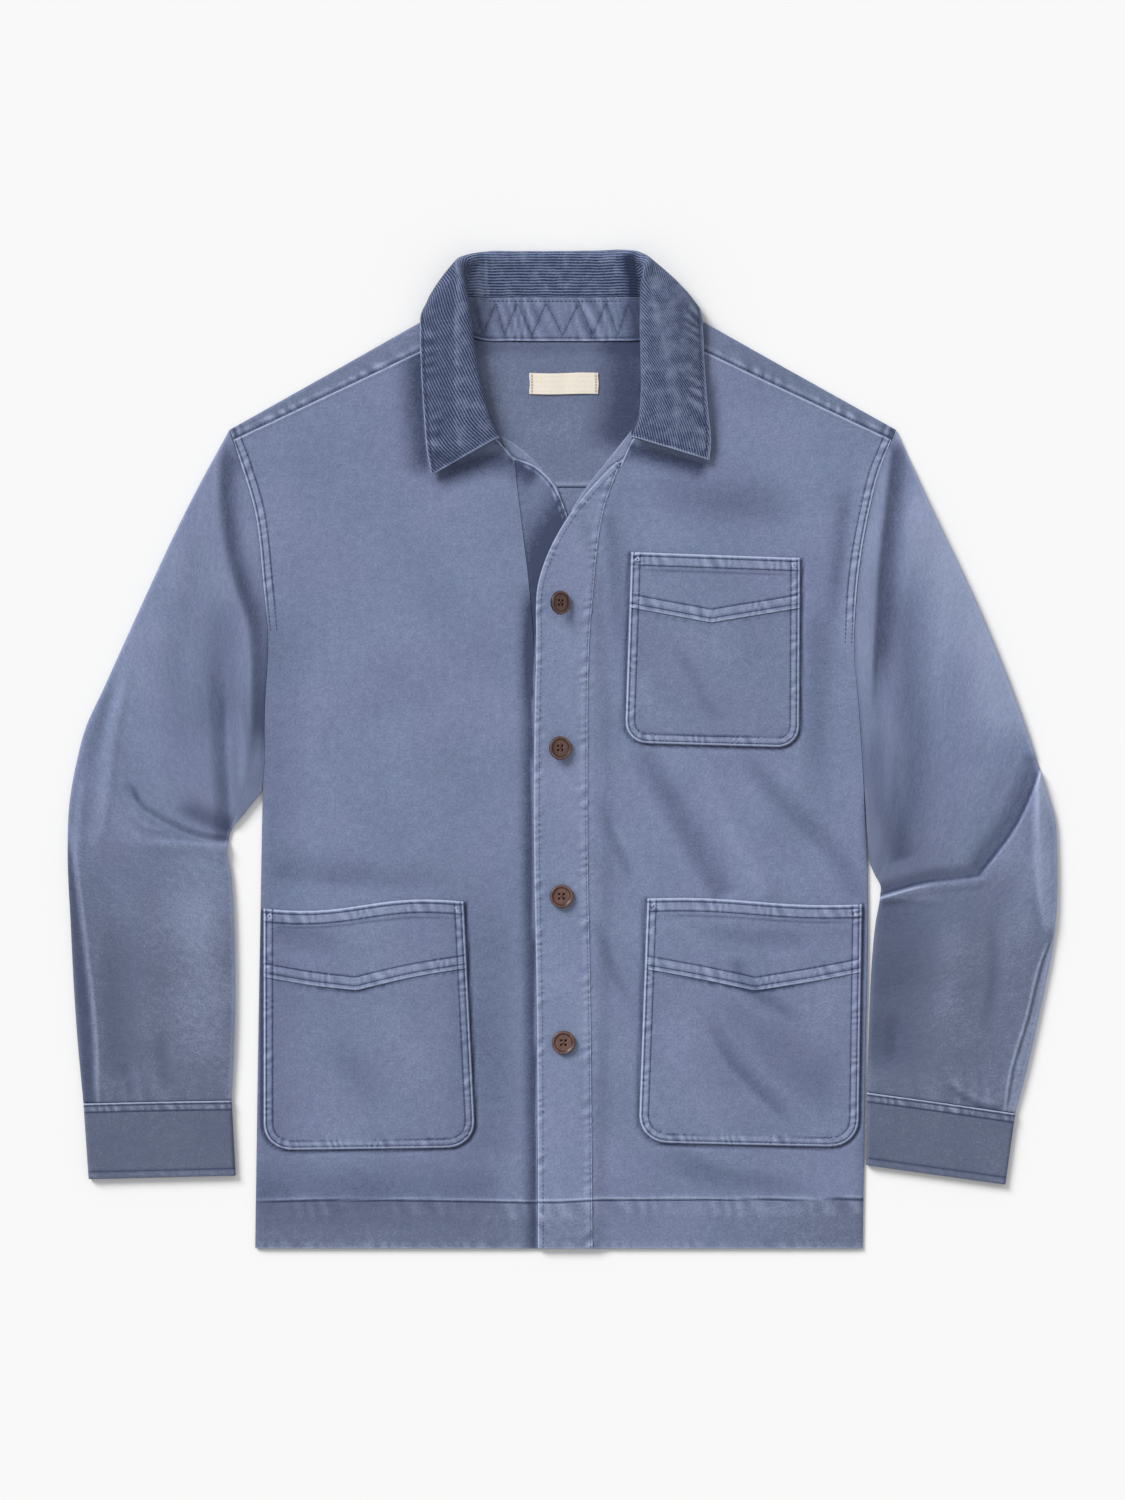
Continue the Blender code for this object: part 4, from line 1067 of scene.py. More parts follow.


# ---------- the body


# A fold's number after its two fades paints the cloth: painted light on ridges above zero, painted shade in
# troughs and painted shadows below zero
FRONT_FOLDS = (
    # Left front: its swell, the sides, the foot and the closure, with painted shade in their troughs and
    # painted light on their ridges, the overlap's painted shadow along the closure and the painted shadow by
    # the collar
    Fold(((-136, 210), (-142, -80), (-140, -370)), 92, 96, 1.5, 0.2, 0.12),
    Fold(((-236, 170), (-238, -100), (-240, -390)), 44, 30, -0.2, 0.2, 0.05, -0.22),
    Fold(((-66, -60), (-60, -180), (-56, -340)), 36, 44, -0.8, 0.4, 0.1, -0.3),
    Fold(((-262, -352), (-150, -352), (-34, -350)), 30, 46, -0.4, 0.02, 0.15, -0.36),
    Fold(((-150, -200), (-120, -240), (-100, -290)), 24, 24, 0.7, 0.3, 0.3, 0.06),
    Fold(((-190, -230), (-160, -262), (-136, -300)), 20, 20, -0.6, 0.3, 0.3, -0.12),
    Fold(((-230, -140), (-210, -147), (-170, -150)), 10, 20, -0.4, 0.1, 0.4, -0.3),
    Fold(((-20, 128), (-22.4, 80), (-24.2, -51.6), (-21.8, -211.6), (-21, -400)), 0.8, 13, -0.5, 0.04, 0, -1),
    Fold(((-24, 140), (-28, 80), (-30, 20)), 8, 12, -0.3, 0.2, 0.5, -0.5),
    Fold(((-108, 212), (-80, 227), (-50, 233), (-16, 216)), 9, 20, -0.6, 0.2, 0.1, -0.8),
    Fold(((-113, 324), (-112, 264), (-107, 214)), 3, 24, -0.2, 0.1, 0.15, -0.9),
    Fold(((-238, -98), (-160, -104), (-80, -106)), 24, 12, -0.4, 0.1, 0.3, -0.26),
    # Right front: its swell, the armhole and the drag lines towards the pocket, with painted shade in their
    # troughs and painted light on their ridges, and the painted shadow by the collar
    Fold(((132, 180), (138, -80), (136, -370)), 96, 92, 1.5, 0.2, 0.12),
    Fold(((247, 240), (240, 168), (234, 112), (232, 30)), 10, 15, 0.5, 0.1, 0.4, 0.16),
    Fold(((228, 214), (221, 153), (216, 90)), 9, 10, -0.6, 0.2, 0.4, -0.36),
    Fold(((208, 128), (204, 20), (206, -50)), 18, 18, -0.5, 0.2, 0.3, -0.3),
    Fold(((60, 4), (83, -36), (109, -81), (131, -122)), 20, 15, -1.5, 0.15, 0.06, -0.42),
    Fold(((109, -8), (139, -68), (170, -124)), 15, 15, 1.4, 0.3, 0.1, 0.1),
    Fold(((142, 2), (175, -40), (216, -81), (241, -124)), 15, 14, -1.1, 0.2, 0.1, -0.32),
    Fold(((37, -55), (58, -82), (80, -116)), 10, 10, 0.9, 0.3, 0.3, 0.08),
    Fold(((27, -36), (42, -72), (60, -112)), 7, 7, -0.9, 0.3, 0.3, -0.28),
    Fold(((27, -132), (42, -179), (60, -209)), 7, 7, -0.9, 0.3, 0.3, -0.28),
    Fold(((86, 87), (109, 52), (128, 14)), 10, 9, -0.8, 0.3, 0.2, -0.2),
    Fold(((66, 66), (72, 40), (88, 16)), 12, 12, 0.5, 0.3, 0.3, 0.1),
    Fold(((60, 212), (120, 200), (196, 192)), 28, 26, -0.3, 0.3, 0.3, -0.32),
    Fold(((36, 205), (42, 150), (46, 70)), 14, 8, -0.3, 0.2, 0.3, -0.26),
    Fold(((100, -142), (150, -150), (204, -152)), 11, 12, -0.4, 0.3, 0.2, -0.3),
    Fold(((137, -166), (147, -187), (172, -206), (200, -224)), 11, 7, -1.2, 0.1, 0.4, -0.36),
    Fold(((122, -180), (150, -206), (180, -232)), 10, 9, 1, 0.3, 0.3, 0.1),
    Fold(((113, -206), (135, -249), (164, -280), (190, -303)), 14, 5.5, -1.3, 0.35, 0.25, -0.42),
    Fold(((142, -215), (168, -262), (198, -296)), 9, 8, 1, 0.3, 0.3, 0.06),
    Fold(((120, -190), (170, -240), (228, -288)), 36, 30, -0.3, 0.2, 0.2, -0.22),
    Fold(((90, -190), (98, -250), (120, -300)), 28, 28, 0.8, 0.3, 0.3, 0.1),
    Fold(((72, -314), (110, -336), (160, -348), (214, -352)), 16, 18, -0.6, 0.3, 0.3, -0.36),
    Fold(((50, 243), (84, 234), (120, 224)), 6, 16, -0.8, 0.1, 0.15, -1),
    Fold(((120, 300), (122, 262), (120, 226)), 8, 3, -0.2, 0.2, 0.15, -0.3),
)


def outline_x(outline: Sequence[Point], y: Array) -> Array:
    """Place across of a smooth outline at the given levels."""
    line = curve_through(outline, np.linspace(0, 1, OUTLINE_POINTS))
    return np.interp(y, line[:, 1], line[:, 0])


def neck_lift(x: Array, y: Array) -> Array:
    """Rise of the back of the neck over the collar's fall, which lies under it."""
    along = ease((y - NECK_LIFT_START) / (NECK_LIFT_END - NECK_LIFT_START))
    return NECK_LIFT * along * ease((NECK_LIFT_REACH - np.abs(x)) / NECK_LIFT_SIDE)


def front_face(x: Array, y: Array) -> Array:
    """Work out the fronts' outer face: level cloth with its folds, bent round a circle at the side folds.

    Args:
        x: places across.
        y: places along the jacket.

    Returns:
        Its height at each place.
    """
    level = not_below(FRONT_LEVEL + total_relief(FRONT_FOLDS, x, y)[0], FRONT_LOWEST, FRONT_BLEND)
    room = np.minimum(x - outline_x(LEFT_SIDE, y), outline_x(RIGHT_SIDE, y) - x)
    inside = np.clip(room, 0, SIDE_FOLD_WIDTH) / SIDE_FOLD_WIDTH
    share = 1 - ease((UNDERARM_Y - y) / SIDE_FADE) * (1 - np.sqrt(1 - (1 - inside) ** 2))
    return SIDE_EDGE_HEIGHT + (level - SIDE_EDGE_HEIGHT) * share + neck_lift(x, y)


def overlap_face(x: Array, y: Array) -> Array:
    """Height of the overlapping front, which also clears the underlap."""
    past_edge = x - outline_x(UNDERLAP_EDGE, y)
    return front_face(x, y) + OVERLAP_RISE * ease((OVERLAP_REACH - past_edge) / OVERLAP_FADE)


def across_between(left: Array, right: Array, shares: Array) -> Array:
    """Plan points between two matched outlines at the given shares of the way."""
    share = np.asarray(shares)[None, :, None]
    return left[:, None, :] * (1 - share) + right[:, None, :] * share


def dressed(plan: Array, base: Surface, parts: Sequence[Fold | Seam], tone: float | Array = 0) -> Cloth:
    """Lay cloth of the fronts over plan points.

    The front's folds are in the base's height already, so only their painted light and shade is added.

    Args:
        plan: places across and along the jacket.
        base: height of the cloth without its seams.
        parts: folds and seams on it.
        tone: how deeply it is dyed.

    Returns:
        The cloth.
    """
    x, y = plan[..., 0], plan[..., 1]
    height, wear_and_shade = total_relief(parts, x, y)
    wear_and_shade += total_relief(FRONT_FOLDS, x, y)[1]
    return Cloth(np.dstack([plan, base(x, y) + height]), wear_and_shade, np.zeros_like(x) + tone)


def surface_of(base: Surface, parts: Sequence[Fold | Seam]) -> Surface:
    """Height function of a base with the relief of folds and seams on it."""
    return lambda x, y: base(x, y) + total_relief(parts, x, y)[0]


@dataclass
class FrontPanel:
    """One front panel with its band, on one side of the closure.

    direction is -1 for the viewer's left and 1 for the right. The seams are those that show on the
    panel and on the band.
    """

    name: str
    direction: float
    side: tuple[Point, ...]
    armhole: tuple[Point, ...]
    band_seam: tuple[Point, ...]
    band_edge: tuple[Point, ...]
    neck: tuple[Point, ...]
    shoulder: Point
    face: Surface
    panel_seams: tuple[Seam, ...]
    band_seams: tuple[Seam, ...]
    step: float = 2.6

    def build_panel(self, finish: Material) -> None:
        """Add the panel, from its side fold and armhole to its band seam and neck.

        Args:
            finish: its material.
        """
        inner_line = np.vstack([curve_through(self.band_seam, np.linspace(0, 1, SEAM_POINTS)),
                                curve_through(self.neck, np.linspace(0, 1, NECK_POINTS))[1:]])
        rows = graded(lengths_along(inner_line)[-1], HEM_ROWS, END_LINES, self.step)
        inner = resample(inner_line, rows)
        outer = curve_through(self.side[:-1] + self.armhole[:-1] + (self.shoulder,), rows)
        outer[:, 0] -= self.direction * np.interp(outer[:, 1], ARMHOLE_GAP_LEVELS, (SEAM_GAP, ARMHOLE_GAP))
        inner[:, 0] += self.direction * SEAM_GAP / 2
        width = abs(self.side[0][0] - self.band_seam[0][0])
        plan = across_between(outer, inner, graded(width, EDGE_LINES, SEAM_LINES, self.step))
        x, y = plan[..., 0], plan[..., 1]
        deep = np.interp(x, HEM_TONE_PLACES, HEM_TONES)
        tone = deep * ease((HEM_TOP + 1.5 - y) / 3 + 0.5) + 0.1 * ease((-60 - y) / 200)
        node = "front_" + self.name
        lay_cloth(dressed(plan, self.face, self.panel_seams, tone), node + "_panel", finish, TWILL_WALL,
                  node)

    def build_band(self, finish: Material) -> None:
        """Add the band between its free edge and its seam.

        Args:
            finish: its material.
        """
        rows = graded(lengths_along(np.asarray(self.band_seam, float))[-1], HEM_ROWS, END_LINES, 2.2)
        seam = curve_through(self.band_seam, rows)
        seam[:, 0] -= self.direction * SEAM_GAP / 2
        columns = graded(BAND_WIDTH, EDGE_LINES, BAND_SEAM_LINES, 2.4)
        plan = across_between(curve_through(self.band_edge, rows), seam, columns)
        tone = 0.5 * ease((HEM_TOP - plan[..., 1]) / 3 + 0.5)
        cloth = dressed(plan, self.face, self.band_seams, tone)
        # The overlap's band a little lighter, and painted shade on the underlap's band in the open neck
        cloth.wear_and_shade += 0.1 if self.direction > 0 else -0.25 * ease((plan[..., 1] - 90) / 60)
        node = "band_" + self.name
        lay_cloth(cloth, node + "_strip", finish, TWILL_WALL, node)

    def stitch(self, panel_book: StitchBook, band_book: StitchBook) -> None:
        """Add the stitch rows of the panel to one book and those of the band to the other.

        Args:
            panel_book: stitches of the panel.
            band_book: stitches of the band.
        """
        for parts, book in ((self.panel_seams, panel_book), (self.band_seams, band_book)):
            surface = surface_of(self.face, parts)
            for part in parts:
                for line in part.stitch_lines():
                    book.add_row(line, surface)

    def build_facing(self, finish: Material) -> None:
        """Add the facing that shows inside the open neck, past the turned edge.

        Args:
            finish: its material.
        """
        rows, share = np.linspace(0, 1, 48), np.linspace(0, 1, 17)
        inner, edge = (curve_through(line, rows) for line in FACINGS[self.name])
        plan = across_between(inner, edge, share)
        height = self.face(plan[..., 0], plan[..., 1]) - 0.5 - (1 - share) ** 2
        # Pale along the turned edge and the inner edge, with painted shade in the crease between them
        wear_and_shade = 0.15 + profile(share, Bump(0.94, 0.16, 0.8), Bump(0.76, 0.14, -0.8), Bump(0, 0.12, 0.5))
        wear_and_shade = np.broadcast_to(wear_and_shade, height.shape)
        cloth = Cloth(np.dstack([plan, height]), wear_and_shade, np.full(height.shape, 0.3))
        node = "front_" + self.name
        lay_cloth(cloth, node + "_facing", finish, FACING_WALL, node)


def armhole_strip(armhole: Sequence[Point], right: bool, seed: int) -> Seam:
    """The topstitched strip on the body side of an armhole, from its lower end to the shoulder.

    Args:
        armhole: outline of the armhole.
        right: whether it is the right one.
        seed: number for its waves.

    Returns:
        The seam.
    """
    line = tuple(point for point in armhole if point[1] > 80)
    return Seam(line if right else line[::-1], width=7.6, rise=0.3, pucker=0.42, period=7.5, wear_and_shade=0.5,
                rim=0.9, rows=(2.2, 7.4), ink=1.3, fade_in=40 if right else 0.5,
                fade_out=0.5 if right else 40, seed=seed)


def neck_edge(line: Sequence[Point], seed: int) -> Seam:
    """The turned edge of a front between its band and the collar, with one row of stitches.

    Args:
        line: the edge.
        seed: number for its waves.

    Returns:
        The seam.
    """
    return Seam(tuple(line), width=4, rise=0.4, pucker=0.1, period=9, wear_and_shade=0.2, rim=1, rows=(2.2,),
                fade_out=8 if seed < 20 else 0.1, seed=seed)


def hem_seam(left: Point, right: Point, seed: int) -> Seam:
    """The stitched top of the hem; the doubled cloth is below it.

    Args:
        left: its left end.
        right: its right end.
        seed: number for its waves.

    Returns:
        The seam.
    """
    # A dip below zero raises the cloth above the row and paints a highlight on it
    return Seam((right, ((left[0] + right[0]) / 2, left[1] + 0.3), left), width=13, rise=0.1, pucker=0.5,
                period=14, wear_and_shade=0.2, rim=0, rows=(0.8,), groove=0.5, ink=1.5, ditch_and_shade=-0.8, shade=1.5,
                seed=seed)


def hem_edge(left: Point, right: Point, seed: int) -> Seam:
    """The folded bottom edge of the hem.

    Args:
        left: its left end.
        right: its right end.
        seed: number for its waves.

    Returns:
        The seam.
    """
    return Seam((left, ((left[0] + right[0]) / 2, left[1]), right), width=5, rise=0, pucker=0.15,
                period=12, wear_and_shade=0.2, rim=0.45, rows=(), seed=seed)


FACINGS = {
    "underlap": (((-48.8, 251), (-41.6, 246.8), (-28, 236.4), (-15.2, 224.4), (-6, 214), (-1.6, 206)),
                 ((-47.6, 246), (-38.4, 231.4), (-32, 229.6), (-22, 224.6), (-10.4, 214.6), (-2.4, 205.6))),
    "overlap": (((55.5, 255), (48.7, 246.5), (35, 229.3), (25, 217), (15, 203.4), (7.5, 191.5)),
                ((56.6, 248), (51, 232), (38.6, 224.8), (28.6, 214.6), (17.6, 202), (8.6, 190))),
}


def make_fronts() -> tuple[FrontPanel, FrontPanel]:
    """The two fronts with the seams that show on each.

    Returns:
        The underlap and the overlap.
    """
    underlap = FrontPanel(
        "underlap", -1, LEFT_SIDE, LEFT_ARMHOLE, UNDERLAP_SEAM, UNDERLAP_EDGE, UNDERLAP_NECK,
        LEFT_SHOULDER_SEAM[0], front_face,
        panel_seams=(
            armhole_strip(LEFT_ARMHOLE, False, 11),
            neck_edge(UNDERLAP_NECK[:3], 16),
            Seam(LEFT_SHOULDER_SEAM[::-1], width=1.2, rise=0.4, pucker=0, wear_and_shade=0.3, rim=1.4, rows=()),
            hem_seam((-245, HEM_TOP + 1.5), (-19, HEM_TOP), 12),
            hem_edge((-245.6, HEM_Y), (-19, HEM_Y), 13),
            POCKETS[1].shade(),
        ),
        band_seams=(
            Seam(UNDERLAP_SEAM[::-1], width=4, rise=0.2, pucker=0.2, period=10, wear_and_shade=0.05, rim=-0.25,
                 rows=(), seed=14),
            # Painted shadow of the overlap's edge on the underlap band in the open neck
            Fold(OVERLAP_EDGE[3:], 32, 3, -0.5, 0.1, 0, -1),
            Seam(UNDERLAP_EDGE, width=4.4, rise=0.5, pucker=0.15, period=9, wear_and_shade=0.8, rim=1.3,
                 rows=(2.2,), groove=0.4, seed=15),
        ),
    )
    overlap = FrontPanel(
        "overlap", 1, RIGHT_SIDE, RIGHT_ARMHOLE, OVERLAP_SEAM, OVERLAP_EDGE, OVERLAP_NECK,
        RIGHT_SHOULDER_SEAM[0], overlap_face,
        panel_seams=(
            armhole_strip(RIGHT_ARMHOLE, True, 21),
            neck_edge(OVERLAP_NECK[2::-1], 29),
            Seam(RIGHT_SHOULDER_SEAM, width=1.2, rise=0.4, pucker=0, wear_and_shade=0.3, rim=1.4, rows=()),
            hem_seam((24, HEM_TOP + 2.2), (240.6, HEM_TOP + 3), 22),
            hem_edge((24, HEM_Y), (240.6, HEM_Y), 23),
            Seam(OVERLAP_SEAM[::-1], width=4, rise=0, pucker=0.2, period=8, wear_and_shade=0.1, rim=-0.2,
                 rows=(), seed=24),
            POCKETS[0].shade(),
            POCKETS[2].shade(),
        ),
        band_seams=(
            Seam(OVERLAP_EDGE[::-1], width=4.6, rise=0.2, pucker=0.6, period=7.3, wear_and_shade=0.3, rim=0.85,
                 rows=(4.2,), groove=0.15, ink=0.25, spread=2.4, seed=25),
            Seam(OVERLAP_SEAM, width=5, rise=0.15, pucker=0.6, period=8.2, wear_and_shade=0.26, rim=0.2,
                 rows=(1.8,), groove=0.2, ink=0.3, spread=2.4, seed=26),
            hem_seam((-20, HEM_TOP + 0.6), (25, HEM_TOP + 2.2), 27),
            hem_edge((-19.2, HEM_Y), (24.8, HEM_Y), 28),
        ),
    )
    return underlap, overlap


# Painted shadows with no height: a dark zone inside the neck beside the collar's right roll, and a line under
# the back of the stand
YOKE_PAINTED_SHADOWS = (
    Fold(((50, 330), (52, 285), (40, 232)), 40, 36, 0, 0.05, 0.2, -0.98),
    Fold(((-84, 322), (0, 322), (84, 322)), 8, 12, 0, 0.05, 0.05, -0.35),
)


@dataclass
class BackAndYoke:
    """The back panel on the floor, the yoke over the shoulders, and the blank neck label."""

    label_centre: Point = (1.6, 292.4)
    label_size: Point = (55, 16.8)
    label_row: float = 25.6

    def build_back(self, finish: Material) -> None:
        """Add the back panel, flat on the floor, with its hem and the edge under the yoke seam.

        Args:
            finish: its material.
        """
        length = YOKE_SEAM_Y - SEAM_GAP - HEM_Y
        levels = HEM_Y + graded(length, (0, 1, 3), YOKE_SEAM_LINES, 9) * length
        inset = SEAM_GAP + BACK_INSET * ease((UNDERARM_Y + 14 - levels) / 20)
        left = np.stack([outline_x(LEFT_SIDE[:-1] + LEFT_ARMHOLE, levels) + inset, levels], axis=1)
        right = np.stack([outline_x(RIGHT_SIDE[:-1] + RIGHT_ARMHOLE, levels) - inset, levels], axis=1)
        plan = across_between(left, right, np.linspace(0, 1, 61))
        cloth = dressed(plan, lambda x, y: np.zeros_like(x), (), 0.35)
        lay_cloth(cloth, "back_panel", finish, BACK_WALL, "back", outward=True)

    def shoulder_part(self, fold: Sequence[Point], seam: Sequence[Point], feet: Point,
                      seams: Sequence[Seam]) -> tuple[Array, Array]:
        """Yoke columns that run up the back, over a shoulder fold and down to the front seam.

        Args:
            fold: ends of the shoulder fold.
            seam: ends of the front shoulder seam.
            feet: places across of the first and last column on the yoke seam.
            seams: sewn lines on the flap.

        Returns:
            Points, rows by columns by 3, and their wear and painted light and shade.
        """
        share = np.linspace(0, 1, YOKE_SHOULDER_COLUMNS)[:, None]
        fold_line, seam_line = np.asarray(fold, float), np.asarray(seam, float)
        run = fold_line[1] - fold_line[0]
        across = np.array([-run[1], run[0]]) / np.hypot(*run)
        across *= math.copysign(1, across[1])
        tops = fold_line[0] * (1 - share) + fold_line[1] * share
        ends = seam_line[0] * (1 - share) + seam_line[1] * share
        foot_x = feet[0] * (1 - share) + feet[1] * share
        foot = np.column_stack([foot_x, np.full_like(foot_x, YOKE_SEAM_Y)])
        centres = tops - across * SHOULDER_BEND
        rows = self.back_rows()[:, None, None]
        back = foot + (centres - foot) * rows
        back = np.dstack([back, neck_lift(back[..., 0], back[..., 1])])
        low, high = back[-1, :, 2], front_face(ends[:, 0], ends[:, 1])
        angles = np.concatenate([np.linspace(-1.2, 1.2, 7), [math.pi / 2]])[:, None]
        arc = centres[None] + across * SHOULDER_BEND * np.cos(angles)[..., None]
        arc = np.dstack([arc, (low + high) / 2 + (high - low) / 2 * np.sin(angles)])
        flap_rows = graded(24, (2.4,), (0, 0.4, 0.9, 1.5, 2.4, 3.6), 2.4)[:, None, None]
        flap = centres + (ends - centres) * flap_rows
        relief, flap_wear_and_shade = total_relief(seams, flap[..., 0], flap[..., 1])
        flap = np.dstack([flap, high + relief])
        wear_and_shade = np.vstack([np.zeros(back.shape[:2]), np.zeros(arc.shape[:2]), flap_wear_and_shade])
        return np.vstack([back, arc, flap]), wear_and_shade

    @staticmethod
    def back_rows() -> Array:
        """Shares of the way up the back where the yoke has its rows."""
        return graded(150, YOKE_SEAM_LINES, (0, 1), 4)

    def neck_part(self, direction: float, flap_rows: int) -> Array:
        """Yoke columns that end on the back of the neck seam, with nothing beyond it.

        Args:
            direction: -1 for the left half and 1 for the right one.
            flap_rows: how many empty rows follow.

        Returns:
            Points, rows by columns by 3.
        """
        count = YOKE_NECK_COLUMNS
        ends = curve_through(BACK_NECK, np.linspace(0, 1, count + 1))[1:]
        feet = np.column_stack([np.linspace(NECK_FOOT, 0, count + 1)[1:], np.full(count, YOKE_SEAM_Y)])
        back = feet + (ends - feet) * self.back_rows()[:, None, None]
        back[..., 0] *= direction
        back = np.dstack([back, neck_lift(back[..., 0], back[..., 1])])
        return np.vstack([back, np.full((flap_rows, count, 3), np.nan)])

    def build_yoke(self, finish: Material) -> list[Seam]:
        """Add the yoke, cut out at the neck.

        Args:
            finish: its material.

        Returns:
            The sewn lines on its flaps.
        """
        seams = [Seam(line, width=5, rise=0.3, pucker=0.5, period=13, wear_and_shade=0.42, rim=-0.9, rows=(1.5,),
                      groove=0.4, ink=0.7, seed=seed, spread=2)
                 for line, seed in ((LEFT_SHOULDER_SEAM, 31), (RIGHT_SHOULDER_SEAM[::-1], 32))]
        foot_left = float(outline_x(LEFT_ARMHOLE, YOKE_SEAM_Y)) + ARMHOLE_GAP
        foot_right = float(outline_x(RIGHT_ARMHOLE, YOKE_SEAM_Y)) - ARMHOLE_GAP
        left, left_wear_and_shade = self.shoulder_part(LEFT_SHOULDER_FOLD, LEFT_SHOULDER_SEAM,
                                             (foot_left, -NECK_FOOT), seams)
        right, right_wear_and_shade = self.shoulder_part(RIGHT_SHOULDER_FOLD, RIGHT_SHOULDER_SEAM,
                                               (foot_right, NECK_FOOT), seams)
        back_rows = len(self.back_rows())
        flap_rows = len(left) - back_rows
        neck = np.hstack([self.neck_part(-1, flap_rows), self.neck_part(1, flap_rows)[:, -2::-1]])
        grid = np.hstack([left, neck, right[:, ::-1]])
        wear_and_shade = np.hstack([left_wear_and_shade, np.zeros(neck.shape[:2]), right_wear_and_shade[:, ::-1]])
        wear_and_shade += profile(grid[..., 1] - YOKE_SEAM_Y, Bump(2.8, 1.3, 0.5), Bump(0.4, 1.5, -1.4))
        inside = np.abs(grid[..., 0]) < NECK_FOOT
        last, shoulder = grid.shape[1] - 1, YOKE_SHOULDER_COLUMNS - 1
        corners = (0, shoulder, last - shoulder, last)
        from_end = np.interp(np.arange(last + 1), corners, (0, 196, 196, 0))
        on_flap = (np.arange(len(grid)) >= back_rows + 4)[:, None]
        wear_and_shade += on_flap * profile(from_end, Bump(0.8, 1.4, 0.9), Bump(3, 1.5, -1.1), Bump(5.6, 3, 0.35),
                                  Bump(8.6, 1.5, -1))
        x, y = np.nan_to_num(grid[..., 0]), np.nan_to_num(grid[..., 1])
        # Painted shadows inside the neck
        wear_and_shade += total_relief(YOKE_PAINTED_SHADOWS, x, y)[1] * inside
        cloth = Cloth(grid, wear_and_shade, np.where(inside, 0.45, 0.4))
        lay_cloth(cloth, "yoke_panel", finish, BACK_WALL, "yoke", outward=True, held=Held.FOLDED)
        return seams

    def label_face(self, x: Array, y: Array) -> Array:
        """Height of the label's under face: on the yoke, with a soft swell on each side of its middle."""
        swell = 0.35 * bell(np.abs(x - self.label_centre[0]) - 11, 15)
        return BACK_WALL + SEAM_GAP + swell + neck_lift(x, y)

    def build_label(self, finish: Material, thread: Material) -> None:
        """Add the blank label and the short rows that hold its ends.

        Args:
            finish: its material.
            thread: material of the stitches.
        """
        middle, level = self.label_centre
        width, height = self.label_size
        ends = (0, 0.4, 1, 2)
        x, y = np.meshgrid(middle + (graded(width, ends, ends, 1.5) - 0.5) * width,
                           level + (graded(height, ends[:-1], ends[:-1], 1.5) - 0.5) * height)
        x = x + 0.25 * np.sin(y * 0.5)
        y = y + 0.35 * np.sin((x - 5) * 0.11)
        wear_and_shade = -0.9 * bell(np.abs(x - middle) - self.label_row, 1.3)
        cloth = Cloth(np.dstack([x, y, self.label_face(x, y)]), wear_and_shade, np.zeros_like(x))
        lay_cloth(cloth, "neck_label_blank", finish, LABEL_WALL, "neck_label", outward=True)
        book = StitchBook(length=1.7, width=0.6, height=0.4, pitch=2.1)
        for place in (middle - self.label_row, middle + self.label_row):
            line = np.column_stack([np.full(12, place), np.linspace(-7.2, 7.2, 12) + level])
            book.add_row(line, lambda px, py: self.label_face(px, py) + LABEL_WALL)
        book.build("label_stitches", thread, "neck_label")


# ---------- pockets


